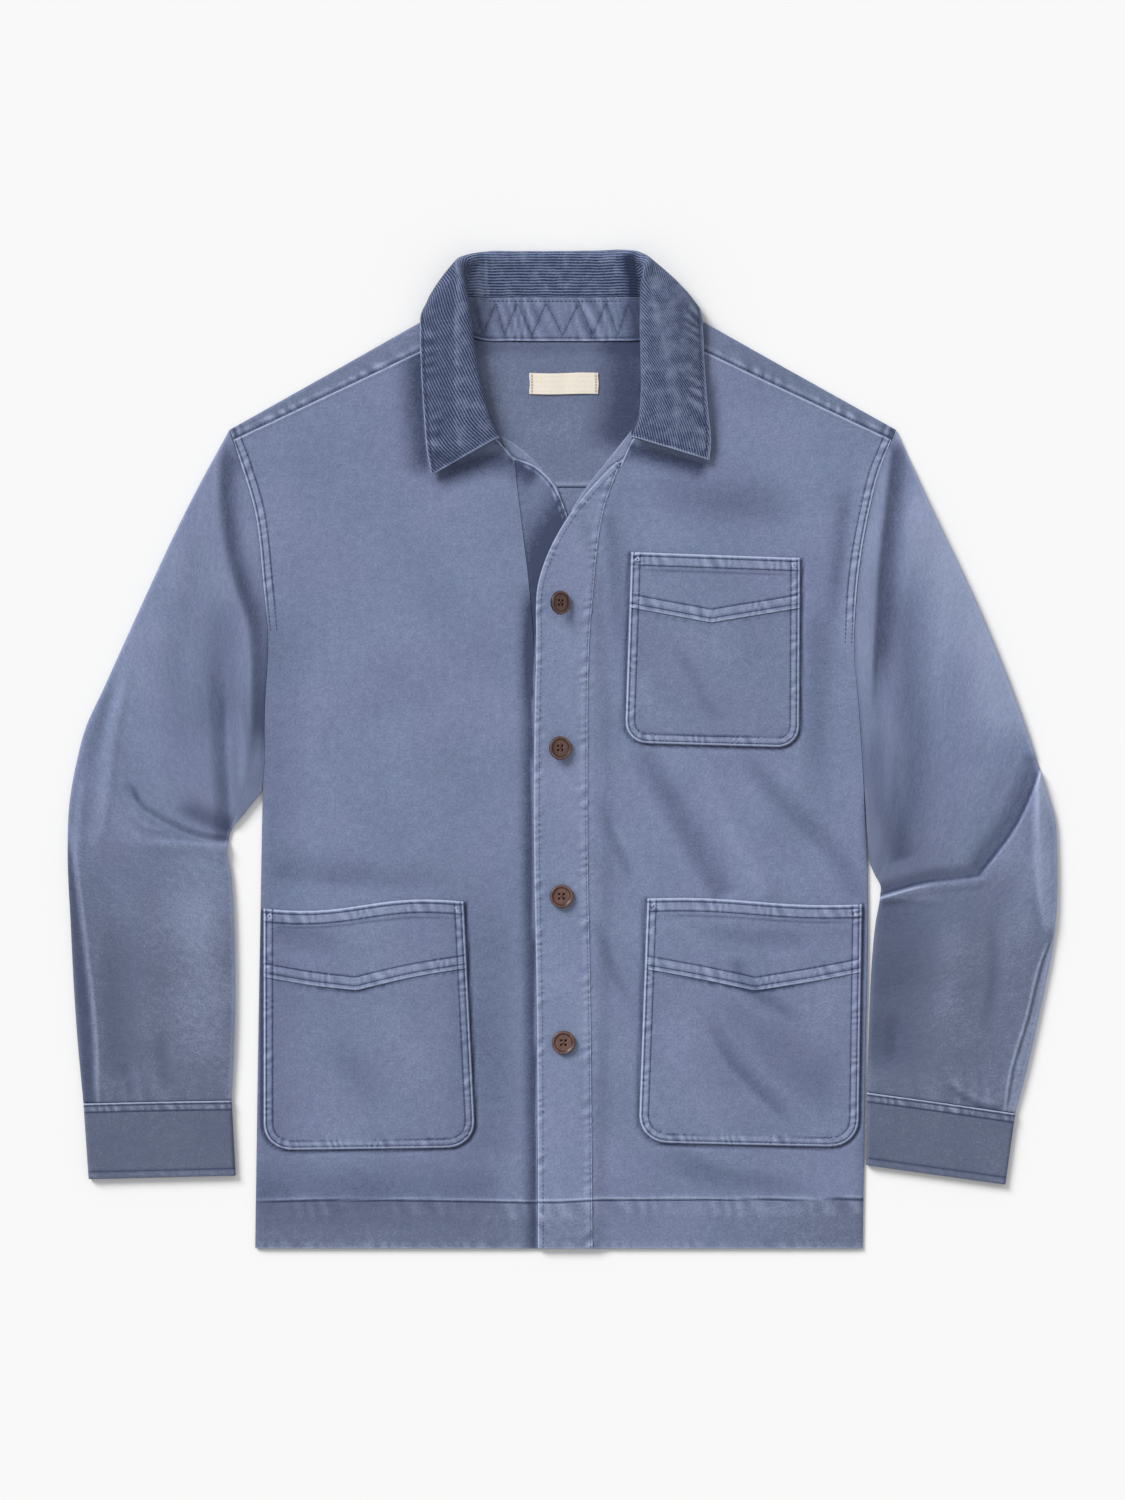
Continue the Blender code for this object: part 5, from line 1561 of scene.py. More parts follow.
@dataclass(frozen=True)
class PatchPocket:
    """A patch pocket with a pointed top band: its corners, corner radius and band depths.

    lap is how far the band's edge comes down past its stitched line.
    """

    name: str
    top_left: Point
    top_right: Point
    bottom_right: Point
    bottom_left: Point
    top_bow: float
    radius: float
    band_left: float
    band_point: float
    band_right: float
    point_place: float
    face: Surface
    seed: int
    lap: float = 2.8

    def height(self) -> float:
        """Mean height of the pocket."""
        return (math.dist(self.top_left, self.bottom_left) + math.dist(self.top_right, self.bottom_right)) / 2

    def plan(self, place: Array, down: Array) -> Array:
        """Plan points at shares across and down the pocket, with round bottom corners.

        Args:
            place: shares across.
            down: shares down.

        Returns:
            Places across and along the jacket.
        """
        width = math.dist(self.top_left, self.top_right)
        rise = self.radius - np.clip((1 - down) * self.height(), 0, self.radius)
        inset = (self.radius - np.sqrt(self.radius**2 - rise**2)) / width
        across = (inset + (1 - 2 * inset) * place)[..., None]
        bow = self.top_bow * np.sin(2 * np.pi * place) * (1 - down)
        top = np.asarray(self.top_left) * (1 - across) + np.asarray(self.top_right) * across
        top[..., 1] += bow
        bottom = np.asarray(self.bottom_left) * (1 - across) + np.asarray(self.bottom_right) * across
        return top * (1 - down[..., None]) + bottom * down[..., None]

    def outline(self) -> Array:
        """The sides and bottom, from the top right corner round to the top left one.

        Returns:
            Points of the line.
        """
        down = np.concatenate([np.linspace(0, 0.86, 24), np.linspace(0.88, 0.99, 10), [0.997, 1]])
        right = self.plan(np.ones_like(down), down)
        left = self.plan(np.zeros_like(down), down)[::-1]
        across = np.linspace(1, 0, 30)[1:-1]
        line = np.vstack([right, self.plan(across, np.ones_like(across)), left])
        return resample(line, np.linspace(0, 1, 110))

    def band_depth(self, place: Array) -> Array:
        """Depth of the band at shares across: straight to its point from each side."""
        depths = (self.band_left, self.band_point, self.band_right)
        return np.interp(place, (0, self.point_place, 1), depths)

    def crossing(self, offset: float) -> tuple[Point, ...]:
        """A line across the pocket at the band's lower edge, moved down by the offset, right to left.

        Args:
            offset: how far below the edge.

        Returns:
            Points of the line.
        """
        point = self.point_place
        place = np.array([1, 0.75, point + 0.06, point, point - 0.06, 0.25, 0])
        line = self.plan(place, (self.band_depth(place) + offset) / self.height())
        return tuple(map(tuple, line))

    def top_line(self, depth: float = 0) -> tuple[Point, ...]:
        """The top edge or a line as deep below it, from right to left."""
        place = np.linspace(1, 0, 9)
        return tuple(map(tuple, self.plan(place, np.full(9, depth / self.height()))))

    def seams(self) -> tuple[Seam, Seam]:
        """The double row along the sides and bottom, and the sewn top edge.

        Returns:
            Both seams.
        """
        edge = Seam(tuple(map(tuple, self.outline()[::-1])), width=7.4, rise=0.2, pucker=0.5, period=6.5,
                    wear_and_shade=0.5, rim=1.3, rows=(2.5, 7.4), groove=0.4, ink=1.2, outline=0.5, seed=self.seed)
        top = Seam(self.top_line(), width=10.8, rise=0.3, pucker=0.24, period=8, wear_and_shade=0.42, rim=1.3,
                   rows=(3.2, 10.5), groove=0.4, ink=1.4, outline=0.3, seed=self.seed + 1)
        return edge, top

    def shade(self) -> Seam:
        """The painted shadow on the front just outside the pocket's sides and bottom: a shallow dip painted
        dark.
        """
        return Seam(tuple(map(tuple, self.outline()[::-1])), width=2, rise=0, pucker=0, wear_and_shade=0, rim=0,
                    rows=(), ditch_and_shade=0.9, shade=3)

    def tacks(self) -> tuple[Seam, ...]:
        """The crossed rows that hold the top corners.

        Returns:
            Two rows for each corner.
        """
        lines = []
        for corner, toward in ((self.top_left, 1), (self.top_right, -1)):
            x0, y0 = corner[0] + toward * 2.2, corner[1] - 3
            for start, end in ((0, -6), (-6, 0)):
                lines.append(((x0, y0 + start), (x0 + toward * 2.8, y0 - 3), (x0 + toward * 5.6, y0 + end)))
        return tuple(Seam(line, width=0.7, rise=0.25, pucker=0, wear_and_shade=1.5, rim=0, rows=()) for line in lines)

    def base(self, x: Array, y: Array) -> Array:
        """Height of the pocket's outer face: on the front at its edge, and a cloth's rise inside.

        Args:
            x: places across.
            y: places along the jacket.

        Returns:
            The height.
        """
        border = np.vstack([self.outline()[::-1], np.asarray(self.top_line())[1:]])
        gap = np.abs(measure(border, x, y)[0])
        return self.face(x, y) + POCKET_RISE + POCKET_SWELL * ease(gap / 1.6 + 0.12)

    def band_base(self, x: Array, y: Array) -> Array:
        """Height of the band's outer face without its seams."""
        return self.base(x, y) + POCKET_RISE

    def band_rows(self, place: Array) -> Array:
        """Shares of the height where the band has its rows, spread out between its close lines.

        Args:
            place: shares across.

        Returns:
            Shares down, rows by columns.
        """
        rows = graded(BAND_DEPTH, BAND_TOP_LINES, BAND_FOOT_LINES, 2.4) * BAND_DEPTH
        free = BAND_DEPTH - BAND_TOP_LINES[-1] - BAND_FOOT_LINES[-1]
        share = ((rows - BAND_TOP_LINES[-1]) / free).clip(0, 1)[:, None]
        return (rows[:, None] + (self.band_depth(place) + self.lap - BAND_DEPTH) * share) / self.height()

    def body_rows(self, place: Array) -> Array:
        """Shares of the height where the body has its rows, from under the band down.

        Args:
            place: shares across.

        Returns:
            Shares down, rows by columns.
        """
        start = (self.band_depth(place) - 4) / self.height()
        shares = graded(self.height() - 50, (0, 1), POCKET_FOOT_LINES, 2.4)
        return start + (1 - start) * shares[:, None]

    def build(self, finish: Material, book: StitchBook) -> None:
        """Add the band, the body below it, and their stitches.

        Args:
            finish: the material of both.
            book: where their stitches go.
        """
        place = graded(math.dist(self.top_left, self.top_right), EDGE_LINES, EDGE_LINES, 2.4)
        edge, top = self.seams()
        foot, tacks = self.crossing(self.lap), self.tacks()
        lap = Seam(foot[::-1], width=10.8, rise=0.2, pucker=0.3, period=8, wear_and_shade=0.42, rim=0.5,
                   rows=(3.6, 10.6), groove=0.4, ink=1.4, outline=0.2, seed=self.seed + 2)
        # A pressed crease across the band, painted dark, and a painted shadow on the body under the band's
        # lapped edge
        pressed = Fold(self.top_line(14.2), 1.3, 1.3, -0.2, 0.2, 0.25, -0.55)
        shadow = Seam(foot, width=3, rise=0, pucker=0.2, period=9, wear_and_shade=-0.35, rim=-1.1,
                      rows=(), seed=self.seed + 3)
        band_parts, body_parts = (edge, top, lap, pressed, *tacks), (edge, shadow)
        for down, base, parts, tone, ending, node, below in (
            (self.band_rows(place), self.band_base, band_parts, 0.12, "_top_band", "_band",
             self.name + "_patch"),
            (self.body_rows(place), self.base, body_parts, 0.18, "_patch", "_body", "front_panel"),
        ):
            plan = self.plan(np.broadcast_to(place, down.shape), down)
            lay_cloth(dressed(plan, base, parts, tone), self.name + ending, finish, POCKET_WALL,
                      self.name + node)
        band, body = surface_of(self.band_base, band_parts), surface_of(self.base, body_parts)
        foot_x, foot_y = np.array(foot[::-1]).T
        for line in edge.stitch_lines():
            x, y = line.T
            height = np.where(y > np.interp(x, foot_x, foot_y), band(x, y), body(x, y))
            book.add_line(np.column_stack([line, height]), UP)
        for line in top.stitch_lines() + lap.stitch_lines():
            book.add_row(line[2:-2], band)
        for tack in tacks:
            book.add_row(np.array(tack.line), band)


POCKETS = (
    PatchPocket("chest_pocket", (55.2, 158), (190.4, 153.2), (189.6, 1.2), (50, 5.2),
                0, 17, 41.6, 51.6, 37.6, 0.48, overlap_face, 41),
    PatchPocket("lower_pocket_left", (-238.6, -127), (-78.4, -121.2), (-68.8, -318), (-238.6, -320.4),
                -3, 21, 52.4, 64.8, 50.4, 0.455, front_face, 51),
    PatchPocket("lower_pocket_right", (68, -118.8), (239.8, -123.6), (237, -318), (60.8, -314),
                1.5, 22, 53.6, 68.5, 51.6, 0.51, overlap_face, 61),
)


# ---------- sleeves and cuffs


def flat_ring(width: Array, height: float, top: Array, bottom: Array) -> tuple[Array, Array]:
    """Places across and heights round tubes pressed flat, from one fold to the other and back.

    Args:
        width: width of the tube at each row.
        height: height between the two layers' outer faces.
        top: shares of the width where the upper layer has its lines.
        bottom: the same for the lower layer.

    Returns:
        Places as shares of the width, a row for each width, and one row of heights.
    """
    bend = (height / 2 / width)[:, None]
    arc = np.linspace(-math.pi / 2, math.pi / 2, 9)
    rim = bend * (1 - np.cos(arc))
    rise = height / 2 * (1 + np.sin(arc))
    upper = bend + (1 - 2 * bend) * top
    lower = bend + (1 - 2 * bend) * bottom[::-1]
    places = np.hstack([rim, upper, 1 - rim[:, ::-1], lower, rim[:, :1]])
    heights = np.concatenate([rise, np.full(len(top), height), rise[::-1], np.zeros(len(bottom) + 1)])
    return places, heights


@dataclass(frozen=True)
class Sleeve:
    """A sleeve as it lies: its outlines, where they meet the elbow fold, its folds and its cuff.

    elbow_sag moves the rows at the elbow, so that they follow the fold. cuff holds the corners of the
    cuff: seam outside, seam inside, end inside and end outside.
    """

    name: str
    direction: float
    outer: tuple[Point, ...]
    inner: tuple[Point, ...]
    armhole: tuple[Point, ...]
    elbow_outer: float
    elbow_inner: float
    elbow_sag: Point
    folds: tuple[Fold, ...]
    cuff: tuple[Point, Point, Point, Point]
    gather: float

    def top_face(self, x: Array, y: Array) -> tuple[Array, Array]:
        """Work out the upper layer: its folds, sunk to the seams at both ends.

        Args:
            x: places across.
            y: places along the jacket.

        Returns:
            Its height, and its wear and painted light and shade.
        """
        height, wear_and_shade = total_relief(self.folds, x, y)
        height = not_below(SLEEVE_LEVEL + height, SLEEVE_LOWEST, SLEEVE_BLEND)
        from_body = measure(even_curve(self.armhole, 6), x, y)[0]
        height = SLEEVE_SEAM_HEIGHT + (height - SLEEVE_SEAM_HEIGHT) * ease(np.abs(from_body) / 15 + 0.1)
        side, along = measure(np.array(self.cuff[:2]), x, y)
        from_cuff = np.abs(side)
        gathers = self.gather * ripple(along, side * 0.6, 17, 71) * bell(from_cuff - 3, 34)
        end_height = CUFF_HEIGHT - CUFF_SEAM_DROP
        height = end_height + (height - end_height) * ease(from_cuff / 14) + gathers
        # Painted light on the gathers' crests and painted shade in their hollows, and darker along the cuff
        # and armhole seams
        return height, wear_and_shade + 0.5 * gathers - 0.35 * bell(from_cuff, 2.6) - 0.2 * bell(from_body, 3)

    def build(self, finish: Material) -> None:
        """Add the sleeve: a tube pressed flat, from the armhole to the cuff seam.

        Args:
            finish: its material.
        """
        rows = graded(560, (0, 0.5, 1.5, 3), (0, 0.5, 1.2, 2.2, 4), 2.8)
        rows = rows + ELBOW_CLOSENESS * np.sin(2 * math.pi * rows)
        outer = curve_through(self.outer, rows)
        bent = np.interp(rows, (0, self.elbow_outer, 1), (0, self.elbow_inner, 1))
        inner = curve_through(self.inner, bent)
        width = np.linalg.norm(inner - outer, axis=1)
        top = graded(130, (1, 2.2, 3.4, 4.6, 5.8), (1, 2.4, 4), 1.3)
        places, heights = flat_ring(width, SLEEVE_EDGE_HEIGHT, top, UNDER_LINES)
        share = places[..., None]
        hole = np.array(self.armhole[::-1] + (self.inner[0],), float)
        hole[:, 0] += self.direction * ARMHOLE_GAP
        hole[0], hole[-1] = outer[0], inner[0]
        bow = curve_through(hole, places[0]) - (hole[0] * (1 - share[0]) + hole[-1] * share[0])
        elbow = (1 - ease(np.abs(rows - self.elbow_outer) / ELBOW_REACH))[:, None, None]
        sag = np.array(self.elbow_sag) * 4 * share * (1 - share) * elbow
        plan = outer[:, None] * (1 - share) + inner[:, None] * share
        plan = plan + bow * ((1 - rows) ** 2)[:, None, None] + sag
        y = plan[..., 1]
        height, wear_and_shade = self.top_face(plan[..., 0], y)
        grid = np.dstack([plan, heights / SLEEVE_EDGE_HEIGHT * height])
        grain = np.dstack([places * width[:, None], np.broadcast_to(rows[:, None] * -SLEEVE_LENGTH, y.shape)])
        from_right = (places if self.direction > 0 else 1 - places) * width[:, None]
        # Lighter towards the shoulder, painted light along the right-hand fold, and all of it on the upper
        # layer only
        wear_and_shade = (wear_and_shade + 0.14 * ease((y - 10) / 90) + EDGE_PAINTED_LIGHT * bell(from_right, EDGE_PAINTED_LIGHT_REACH)) * (
            heights > 1)
        node = "sleeve_" + self.name
        lay_cloth(Cloth(grid, wear_and_shade, 0.85 * ease((10 - y) / 200), grain), node + "_tube", finish, TWILL_WALL,
                  node, ring=True)

    def cuff_seams(self) -> tuple[Seam, Seam]:
        """The piped seam with its double row, and the row above the end.

        Returns:
            Both seams.
        """
        start, inside, end_inside, end_outside = self.cuff
        top, bottom = (inside, start), (end_outside, end_inside)
        if self.direction > 0:
            top, bottom = top[::-1], bottom[::-1]
        middle = ((top[0][0] + top[1][0]) / 2, (top[0][1] + top[1][1]) / 2 + 1.5 * self.gather)
        return (
            Seam((top[0], middle, top[1]), width=7.8, rise=0.35, pucker=0.3, period=8, wear_and_shade=0.4, rim=1.5,
                 rows=(2.5, 7.7), groove=0.45, ink=1.5, outline=0.4, seed=72),
            Seam(bottom, width=5.4, rise=0.1, pucker=0.18, period=10, wear_and_shade=0.12, rim=-0.3, rows=(5.6,),
                 groove=0.45, ink=1.1, seed=73),
        )

    def build_cuff(self, finish: Material, book: StitchBook) -> None:
        """Add the cuff, a short tube pressed flat, with its stitches.

        Args:
            finish: its material.
            book: where its stitches go.
        """
        seam_outer, seam_inner, end_inner, end_outer = np.array(self.cuff, float)
        depth = np.linalg.norm(end_outer - seam_outer)
        down = graded(depth, CUFF_TOP_LINES, CUFF_END_LINES, 2.6)[:, None]
        start = seam_outer + (end_outer - seam_outer) * down
        end = seam_inner + (end_inner - seam_inner) * down
        width = np.linalg.norm(end - start, axis=1)
        places, heights = flat_ring(width, CUFF_HEIGHT, np.linspace(0.01, 0.99, 60), UNDER_LINES)
        plan = start[:, None] * (1 - places[..., None]) + end[:, None] * places[..., None]
        plan[0, :, 1] -= SEAM_GAP
        seams = self.cuff_seams()
        relief, wear_and_shade = total_relief(seams, plan[..., 0], plan[..., 1])
        upper = heights > CUFF_HEIGHT * 0.5
        cloth = Cloth(np.dstack([plan, heights + relief * upper]), (wear_and_shade - 0.1) * upper, np.ones(places.shape))
        node = "cuff_" + self.name
        lay_cloth(cloth, node + "_tube", finish, TWILL_WALL, node, ring=True)
        flat = surface_of(lambda x, y: np.full_like(x, CUFF_HEIGHT), seams)
        for line in seams[0].stitch_lines() + seams[1].stitch_lines():
            book.add_row(resample(line, np.linspace(0.012, 0.988, 60)), flat)


LEFT_SLEEVE = Sleeve(
    "left", -1,
    outer=((-266, 255.4), (-293.6, 204.4), (-340.4, 106), (-365.8, 50), (-381, 16.4), (-388.4, -12),
           (-393.6, -42), (-395.2, -80), (-392.8, -138.8), (-387.6, -228.4), (-382.6, -282.4)),
    inner=((-240.2, -34), (-253.6, -51), (-265, -66), (-267, -76), (-264, -104),
           (-261.4, -164.4), (-261.4, -215.6), (-264, -280)),
    armhole=LEFT_ARMHOLE, elbow_outer=0.5, elbow_inner=0.2, elbow_sag=(0, -6),
    # A fold's number after its two fades paints the cloth: painted light on ridges, partly rubbed wear on the
    # outer fold, and painted shade in troughs, creases and shadows below zero
    folds=(
        # The trough beside the cap with its painted shadow, the second one, and the crease down to the bend of
        # the arm, painted dark
        Fold(((-264, 250), (-267.4, 232), (-269, 210), (-266.6, 178), (-262.8, 154), (-255, 126),
              (-246.4, 102), (-243.2, 71.6), (-243.2, 23.6), (-244, -14)), 19, 6.5, -3, 0.08, 0.14, -0.95),
        Fold(((-268, 132), (-270, 71.6), (-270, 33.2), (-270, -5.2)), 26, 26, -1.8, 0.3, 0.3, -0.36),
        Fold(((-275, 90), (-272, 20), (-269, -34), (-268.4, -74)), 7, 12, -2, 0.5, 0.02, -0.52),
        Fold(((-257, 40), (-253, 0), (-256, -40)), 6, 6, 0.8, 0.3, 0.3, 0.1),
        Fold(((-302, 140), (-299, 60), (-292, -16)), 26, 26, 0, 0.2, 0.3, -0.16),
        Fold(((-290, 200), (-316, 120), (-322, 20)), 24, 40, 1.6, 0.3, 0.4, 0.04),
        # The ridges along the outer fold, paler with rubbed wear and painted light, and the painted dark
        # trough between them
        Fold(((-342, 96), (-352, 42.8), (-359, 4.4), (-363.4, -34), (-369.6, -72.4), (-375, -104)),
             8, 11, 1.2, 0.35, 0.35, 0.22),
        Fold(((-352, 66), (-370, 10), (-382, -40)), 8, 9, -1, 0.3, 0.4, -0.2),
        Fold(((-380, -10), (-386, -70), (-384, -120)), 6, 7, 1, 0.3, 0.4, 0.14),
        # The bend of the arm: a pinched start, the crease, its shade and the lit cloth under it
        Fold(((-346, -26), (-335, -45.6), (-316.8, -57.6), (-292.8, -68.8), (-268, -73.4), (-250, -74)),
             6, 1.8, -1.6, 0.16, 0, -0.44),
        Fold(((-349, -26), (-343, -33), (-336, -43)), 5, 6, -0.7, 0.3, 0.4, -0.26),
        Fold(((-310, -44), (-286, -56), (-262, -63)), 16, 9, -1.6, 0.4, 0.05, -0.55),
        Fold(((-350.4, -55), (-334, -71), (-307.2, -75), (-268.8, -78), (-246, -80)), 3.5, 14, 1.8,
             0.2, 0, 0.16),
        Fold(((-346, -44), (-334, -60), (-316, -66)), 4, 4, 1, 0.3, 0.4, 0.14),
        # Forearm: broad painted shades, the fold that steps down beside the edge with its painted shadow, and
        # soft gathers at the cuff
        Fold(((-352, -120), (-356, -200), (-352, -268)), 26, 18, -1, 0.3, 0.1, -0.2),
        Fold(((-284, -104), (-282, -180), (-282, -262)), 30, 40, 1.2, 0.2, 0.15, 0.16),
        Fold(((-288, -80), (-290, -120), (-292, -186)), 34, 48, 0, 0.1, 0.3, 0.17),
        Fold(((-319, -222), (-318, -250), (-314, -276)), 10, 10, -0.9, 0.3, 0.2, -0.2),
        Fold(((-352, -250), (-346, -266), (-340, -276)), 9, 9, -0.8, 0.3, 0.2, -0.16),
        Fold(((-394.4, -58), (-386.4, -123.6), (-380, -177.2), (-374.8, -228.4), (-373.6, -284.8)),
             30, 1.6, 2.2, 0.1, 0, 0),
        Fold(((-395.2, -58), (-387.4, -123.6), (-381, -177.2), (-375.8, -228.4), (-374.6, -284.8)),
             1.6, 14, -0.8, 0.12, 0, -0.7, broad=True),
        Fold(((-390, -70), (-383.4, -123.6), (-377, -177.2), (-371.8, -228.4), (-370.6, -284.8)),
             3, 2.2, 0.3, 0.2, 0, 0.4),
    ),
    cuff=((-382.6, -282.4), (-264, -280), (-260.8, -340.4), (-378.4, -343.2)), gather=0.2,
)
RIGHT_CREASE = ((385, -6), (377.8, -27), (362.6, -61), (348, -82), (331, -103))
RIGHT_SLEEVE = Sleeve(
    "right", 1,
    outer=((267.2, 255.4), (292, 200.4), (335.2, 108.4), (378.8, -6), (386.8, -31.6), (394, -55.6),
           (395.8, -82), (393.6, -147.6), (383.2, -203.6), (371.2, -257.2), (362.4, -290.4)),
    inner=((245.4, -90), (250.2, -100.5), (254.8, -110), (254.2, -118), (250.8, -138), (247, -180.4),
           (245.2, -226.8), (243.6, -273.6)),
    armhole=RIGHT_ARMHOLE, elbow_outer=0.49, elbow_inner=0.13, elbow_sag=(0, -38),
    # A fold's number after its two fades paints the cloth: painted light on ridges and facets above zero,
    # painted shade in troughs, creases and shadows below it
    folds=(
        # The sharp trough beside the cap with its painted shadow, the drag lines below it painted dark, and
        # the outer half painted lit
        Fold(((267, 250), (263, 201.2), (257.5, 148.4), (254.6, 100.4), (252, 52.4), (250, 20)),
             21, 5.5, -3.4, 0.06, 0.3, -0.95),
        Fold(((268, 150), (276, 90), (279, 40), (282, -5.2), (278, -58), (268, -106)), 28,
             20, -1.5, 0.2, 0.1, -0.42),
        Fold(((264, 12), (264, -24.4), (262, -60)), 7, 7, 0.7, 0.3, 0.3, -0.06),
        Fold(((246, 20), (252, -24.4), (272, -92)), 22, 12, -1.2, 0.3, 0.05, -0.34),
        Fold(((286, 216), (330, 118), (376, -4)), 12, 52, 1.6, 0.12, 0.15, 0.36),
        Fold(((300, 120), (318, 40), (330, -30)), 22, 22, 0.8, 0.3, 0.3, 0),
        # The bend of the arm: two creases that meet, each with its shade above and a lit ridge below
        Fold(RIGHT_CREASE, 1.4, 20, -3, 0.04, 0.12, -0.62),
        Fold(((342, -99), (318, -103), (290, -106.5), (262, -114), (240, -121)), 1.5, 13, -2.6, 0.1, 0, -0.5),
        Fold(RIGHT_CREASE, 0.8, 3.4, 0, 0.04, 0.12, -0.5),
        Fold(((338, -100), (318, -103), (290, -106.5), (262, -114), (240, -121)), 0.8, 3, 0, 0.06, 0, -0.45),
        Fold(((387, -9), (379, -29), (364, -63), (349, -84), (333, -104.5)), 26, 2, 1.6, 0.04, 0.1, 0.12),
        Fold(((344, -102.5), (318, -106), (290, -109.5), (262, -117), (240, -123.5)), 9, 1.6, 1.4,
             0.1, 0, 0.1),
        Fold(((300, -107.4), (280, -111.4), (262, -116.4), (244, -122)), 1.8, 1.4, 0.2, 0.4, 0, 0.7),
        # Forearm: painted shade along the inner edge, dark and light streaks, the facet outside painted
        # bright, the step below it with a painted bright edge, and a dark and a light fold above the cuff
        Fold(((264, -118), (260, -192.4), (252, -268)), 56, 24, -1.6, 0.04, 0.2, -0.5),
        Fold(((344, -128), (347, -168.4), (341, -230)), 10, 10, -1.2, 0.3, 0.3, -0.16),
        Fold(((310, -126), (312, -170), (310, -230)), 22, 20, 1.2, 0.3, 0.3, 0.1),
        Fold(((268, -206), (264, -232), (262, -256)), 9, 9, -0.8, 0.3, 0.3, -0.2),
        Fold(((380, -16), (379, -73), (384, -125), (389, -150)), 22, 5, 1.2, 0.1, 0.1, 0.42),
        Fold(((372, -60), (373, -110), (366, -170)), 16, 26, 0.8, 0.3, 0.3, 0.16),
        Fold(((380.8, -12), (379.6, -40), (380.6, -72), (383, -104)), 3, 2.2, 0.3, 0.04, 0.6, 0.45),
        Fold(((393.6, -140), (387.2, -156), (371.2, -216.4), (359.2, -258), (354.4, -292)), 1.6, 30,
             1.3, 0.1, 0, 0),
        Fold(((393, -146), (385.6, -160), (369.8, -217), (357.8, -258), (353, -292)), 2, 2, 0.3, 0.1, 0, 0.6),
        Fold(((395, -146), (389.2, -160), (373.4, -217), (361.2, -259), (356, -292)), 12, 1.2,
             -0.3, 0.1, 0, 0.35),
        Fold(((306, -268), (332.8, -285), (352, -289)), 4, 3, -1.4, 0.2, 0.1, -0.6),
        Fold(((306, -262), (330, -278), (352, -283)), 5, 4, 1.2, 0.2, 0.1, 0.25),
    ),
    cuff=((362.4, -290.4), (243.6, -273.6), (243, -332), (354.4, -347.6)), gather=0.25,
)


# ---------- collar and stand


class Station(NamedTuple):
    """One section through the collar, from the neck seam over the roll to the free edge.

    heading is the way out from the neck in degrees, nose the tilt of the roll (0 points into the neck,
    90 up, 180 out), and radius its bend. neck, seam, roll and edge are points on the cloth.
    """

    heading: float
    nose: float
    radius: float
    neck: tuple[float, float, float]
    seam: tuple[float, float, float]
    roll: tuple[float, float, float]
    edge: tuple[float, float, float]
    bulge_out: float
    bulge_up: float


STATIONS = (
    Station(196, 0, 2.7, (-60.5, 245.6, 5.4), (-55.5, 246.6, 5.8), (-49.6, 248.6, 8.8),
            (-104, 218.8, 8), 0, 2),
    Station(188, 0, 3.4, (-70, 259, 5.8), (-64, 261.5, 6.2), (-56.8, 263.4, 11), (-107.6, 237, 8.4), 0, 2.4),
    Station(184, 0, 4.2, (-82, 280, 6.8), (-75, 284, 7.2), (-64, 290.8, 13), (-110.4, 271, 9.2), 0, 2.6),
    Station(180, 0, 4.8, (-91, 304, 7.6), (-82, 311, 8), (-69.8, 323.6, 15), (-112.4, 304, 10.4), 0, 2.8),
    Station(172, 8, 4.8, (-93.9, 326, 7.8), (-84.9, 332, 8.6), (-72.6, 347, 17.6), (-113.2, 331, 11), 1, 2.4),
    Station(152, 45, 4.8, (-96, 340, 7), (-87, 348, 12.5), (-77.5, 372.3, 22.1), (-112, 348, 9), 3, 1.6),
    Station(135, 80, 4.8, (-91.9, 345.6, 6.6), (-82.9, 359.7, 12.7), (-80, 386, 23),
            (-108, 350.6, -1), 2.5, 0),
    Station(123, 120, 5, (-84, 335.6, 5.6), (-72, 361.4, 9.9), (-73, 393, 17), (-94, 331, -4), 1, -2),
    Station(99, 166, 5.4, (-66, 327.4, 4.7), (-60, 361, 6.4), (-60, 397.4, 8.6), (-72, 321, -4), 0, -4),
    Station(90, 180, 5.4, (-38, 326.2, 4.5), (-38, 361.2, 6), (-36, 398, 5.4), (-38, 318.6, -4), 0, -4),
    Station(90, 180, 5.2, (0, 326, 4.4), (0, 361.2, 5.8), (0, 398.2, 5.2), (0, 318.2, -4), 0, -4),
    Station(90, 180, 5.4, (38, 326.2, 4.5), (34, 361.2, 6), (32, 398.6, 5.4), (38, 318.6, -4), 0, -4),
    Station(82, 166, 5.4, (66, 327.4, 4.7), (50, 361.6, 6.5), (50, 398.8, 8.6), (72, 321, -4), 0, -4),
    Station(64, 125, 5, (84, 335.6, 5.3), (62.1, 360.6, 9.5), (61, 395, 17), (94, 331, -4), 1, -2),
    Station(46, 80, 4.8, (90.1, 346.1, 6), (74.4, 359.2, 12.7), (66.4, 387, 23), (107.4, 350.6, -1), 3, 0),
    Station(28, 45, 4.8, (96, 340, 7), (79, 347.4, 12.8), (63.4, 370, 22), (111, 348, 9), 3.5, 1.6),
    Station(8, 8, 4.8, (94, 326, 7.8), (77, 330.6, 8.3), (61.8, 345, 17.6), (112.6, 331, 11), 1, 2.4),
    Station(0, 0, 4.8, (91, 304, 7.6), (76, 308, 8), (62.4, 313.6, 15), (114, 304, 10.4), 0, 2.8),
    Station(-4, 0, 4.2, (82, 280, 6.8), (72, 282, 7.2), (62.6, 284, 13), (116.6, 272, 9.2), 0, 2.6),
    Station(-8, 0, 3.4, (73, 258, 5.8), (67.4, 260.6, 6.2), (60.4, 262.4, 11), (119, 246, 8.4), 0, 2.4),
    Station(-12, 0, 2.7, (66, 246.4, 5.4), (61, 247.4, 5.8), (55.2, 249.2, 8.8), (117.6, 230.8, 8), 0, 2),
)


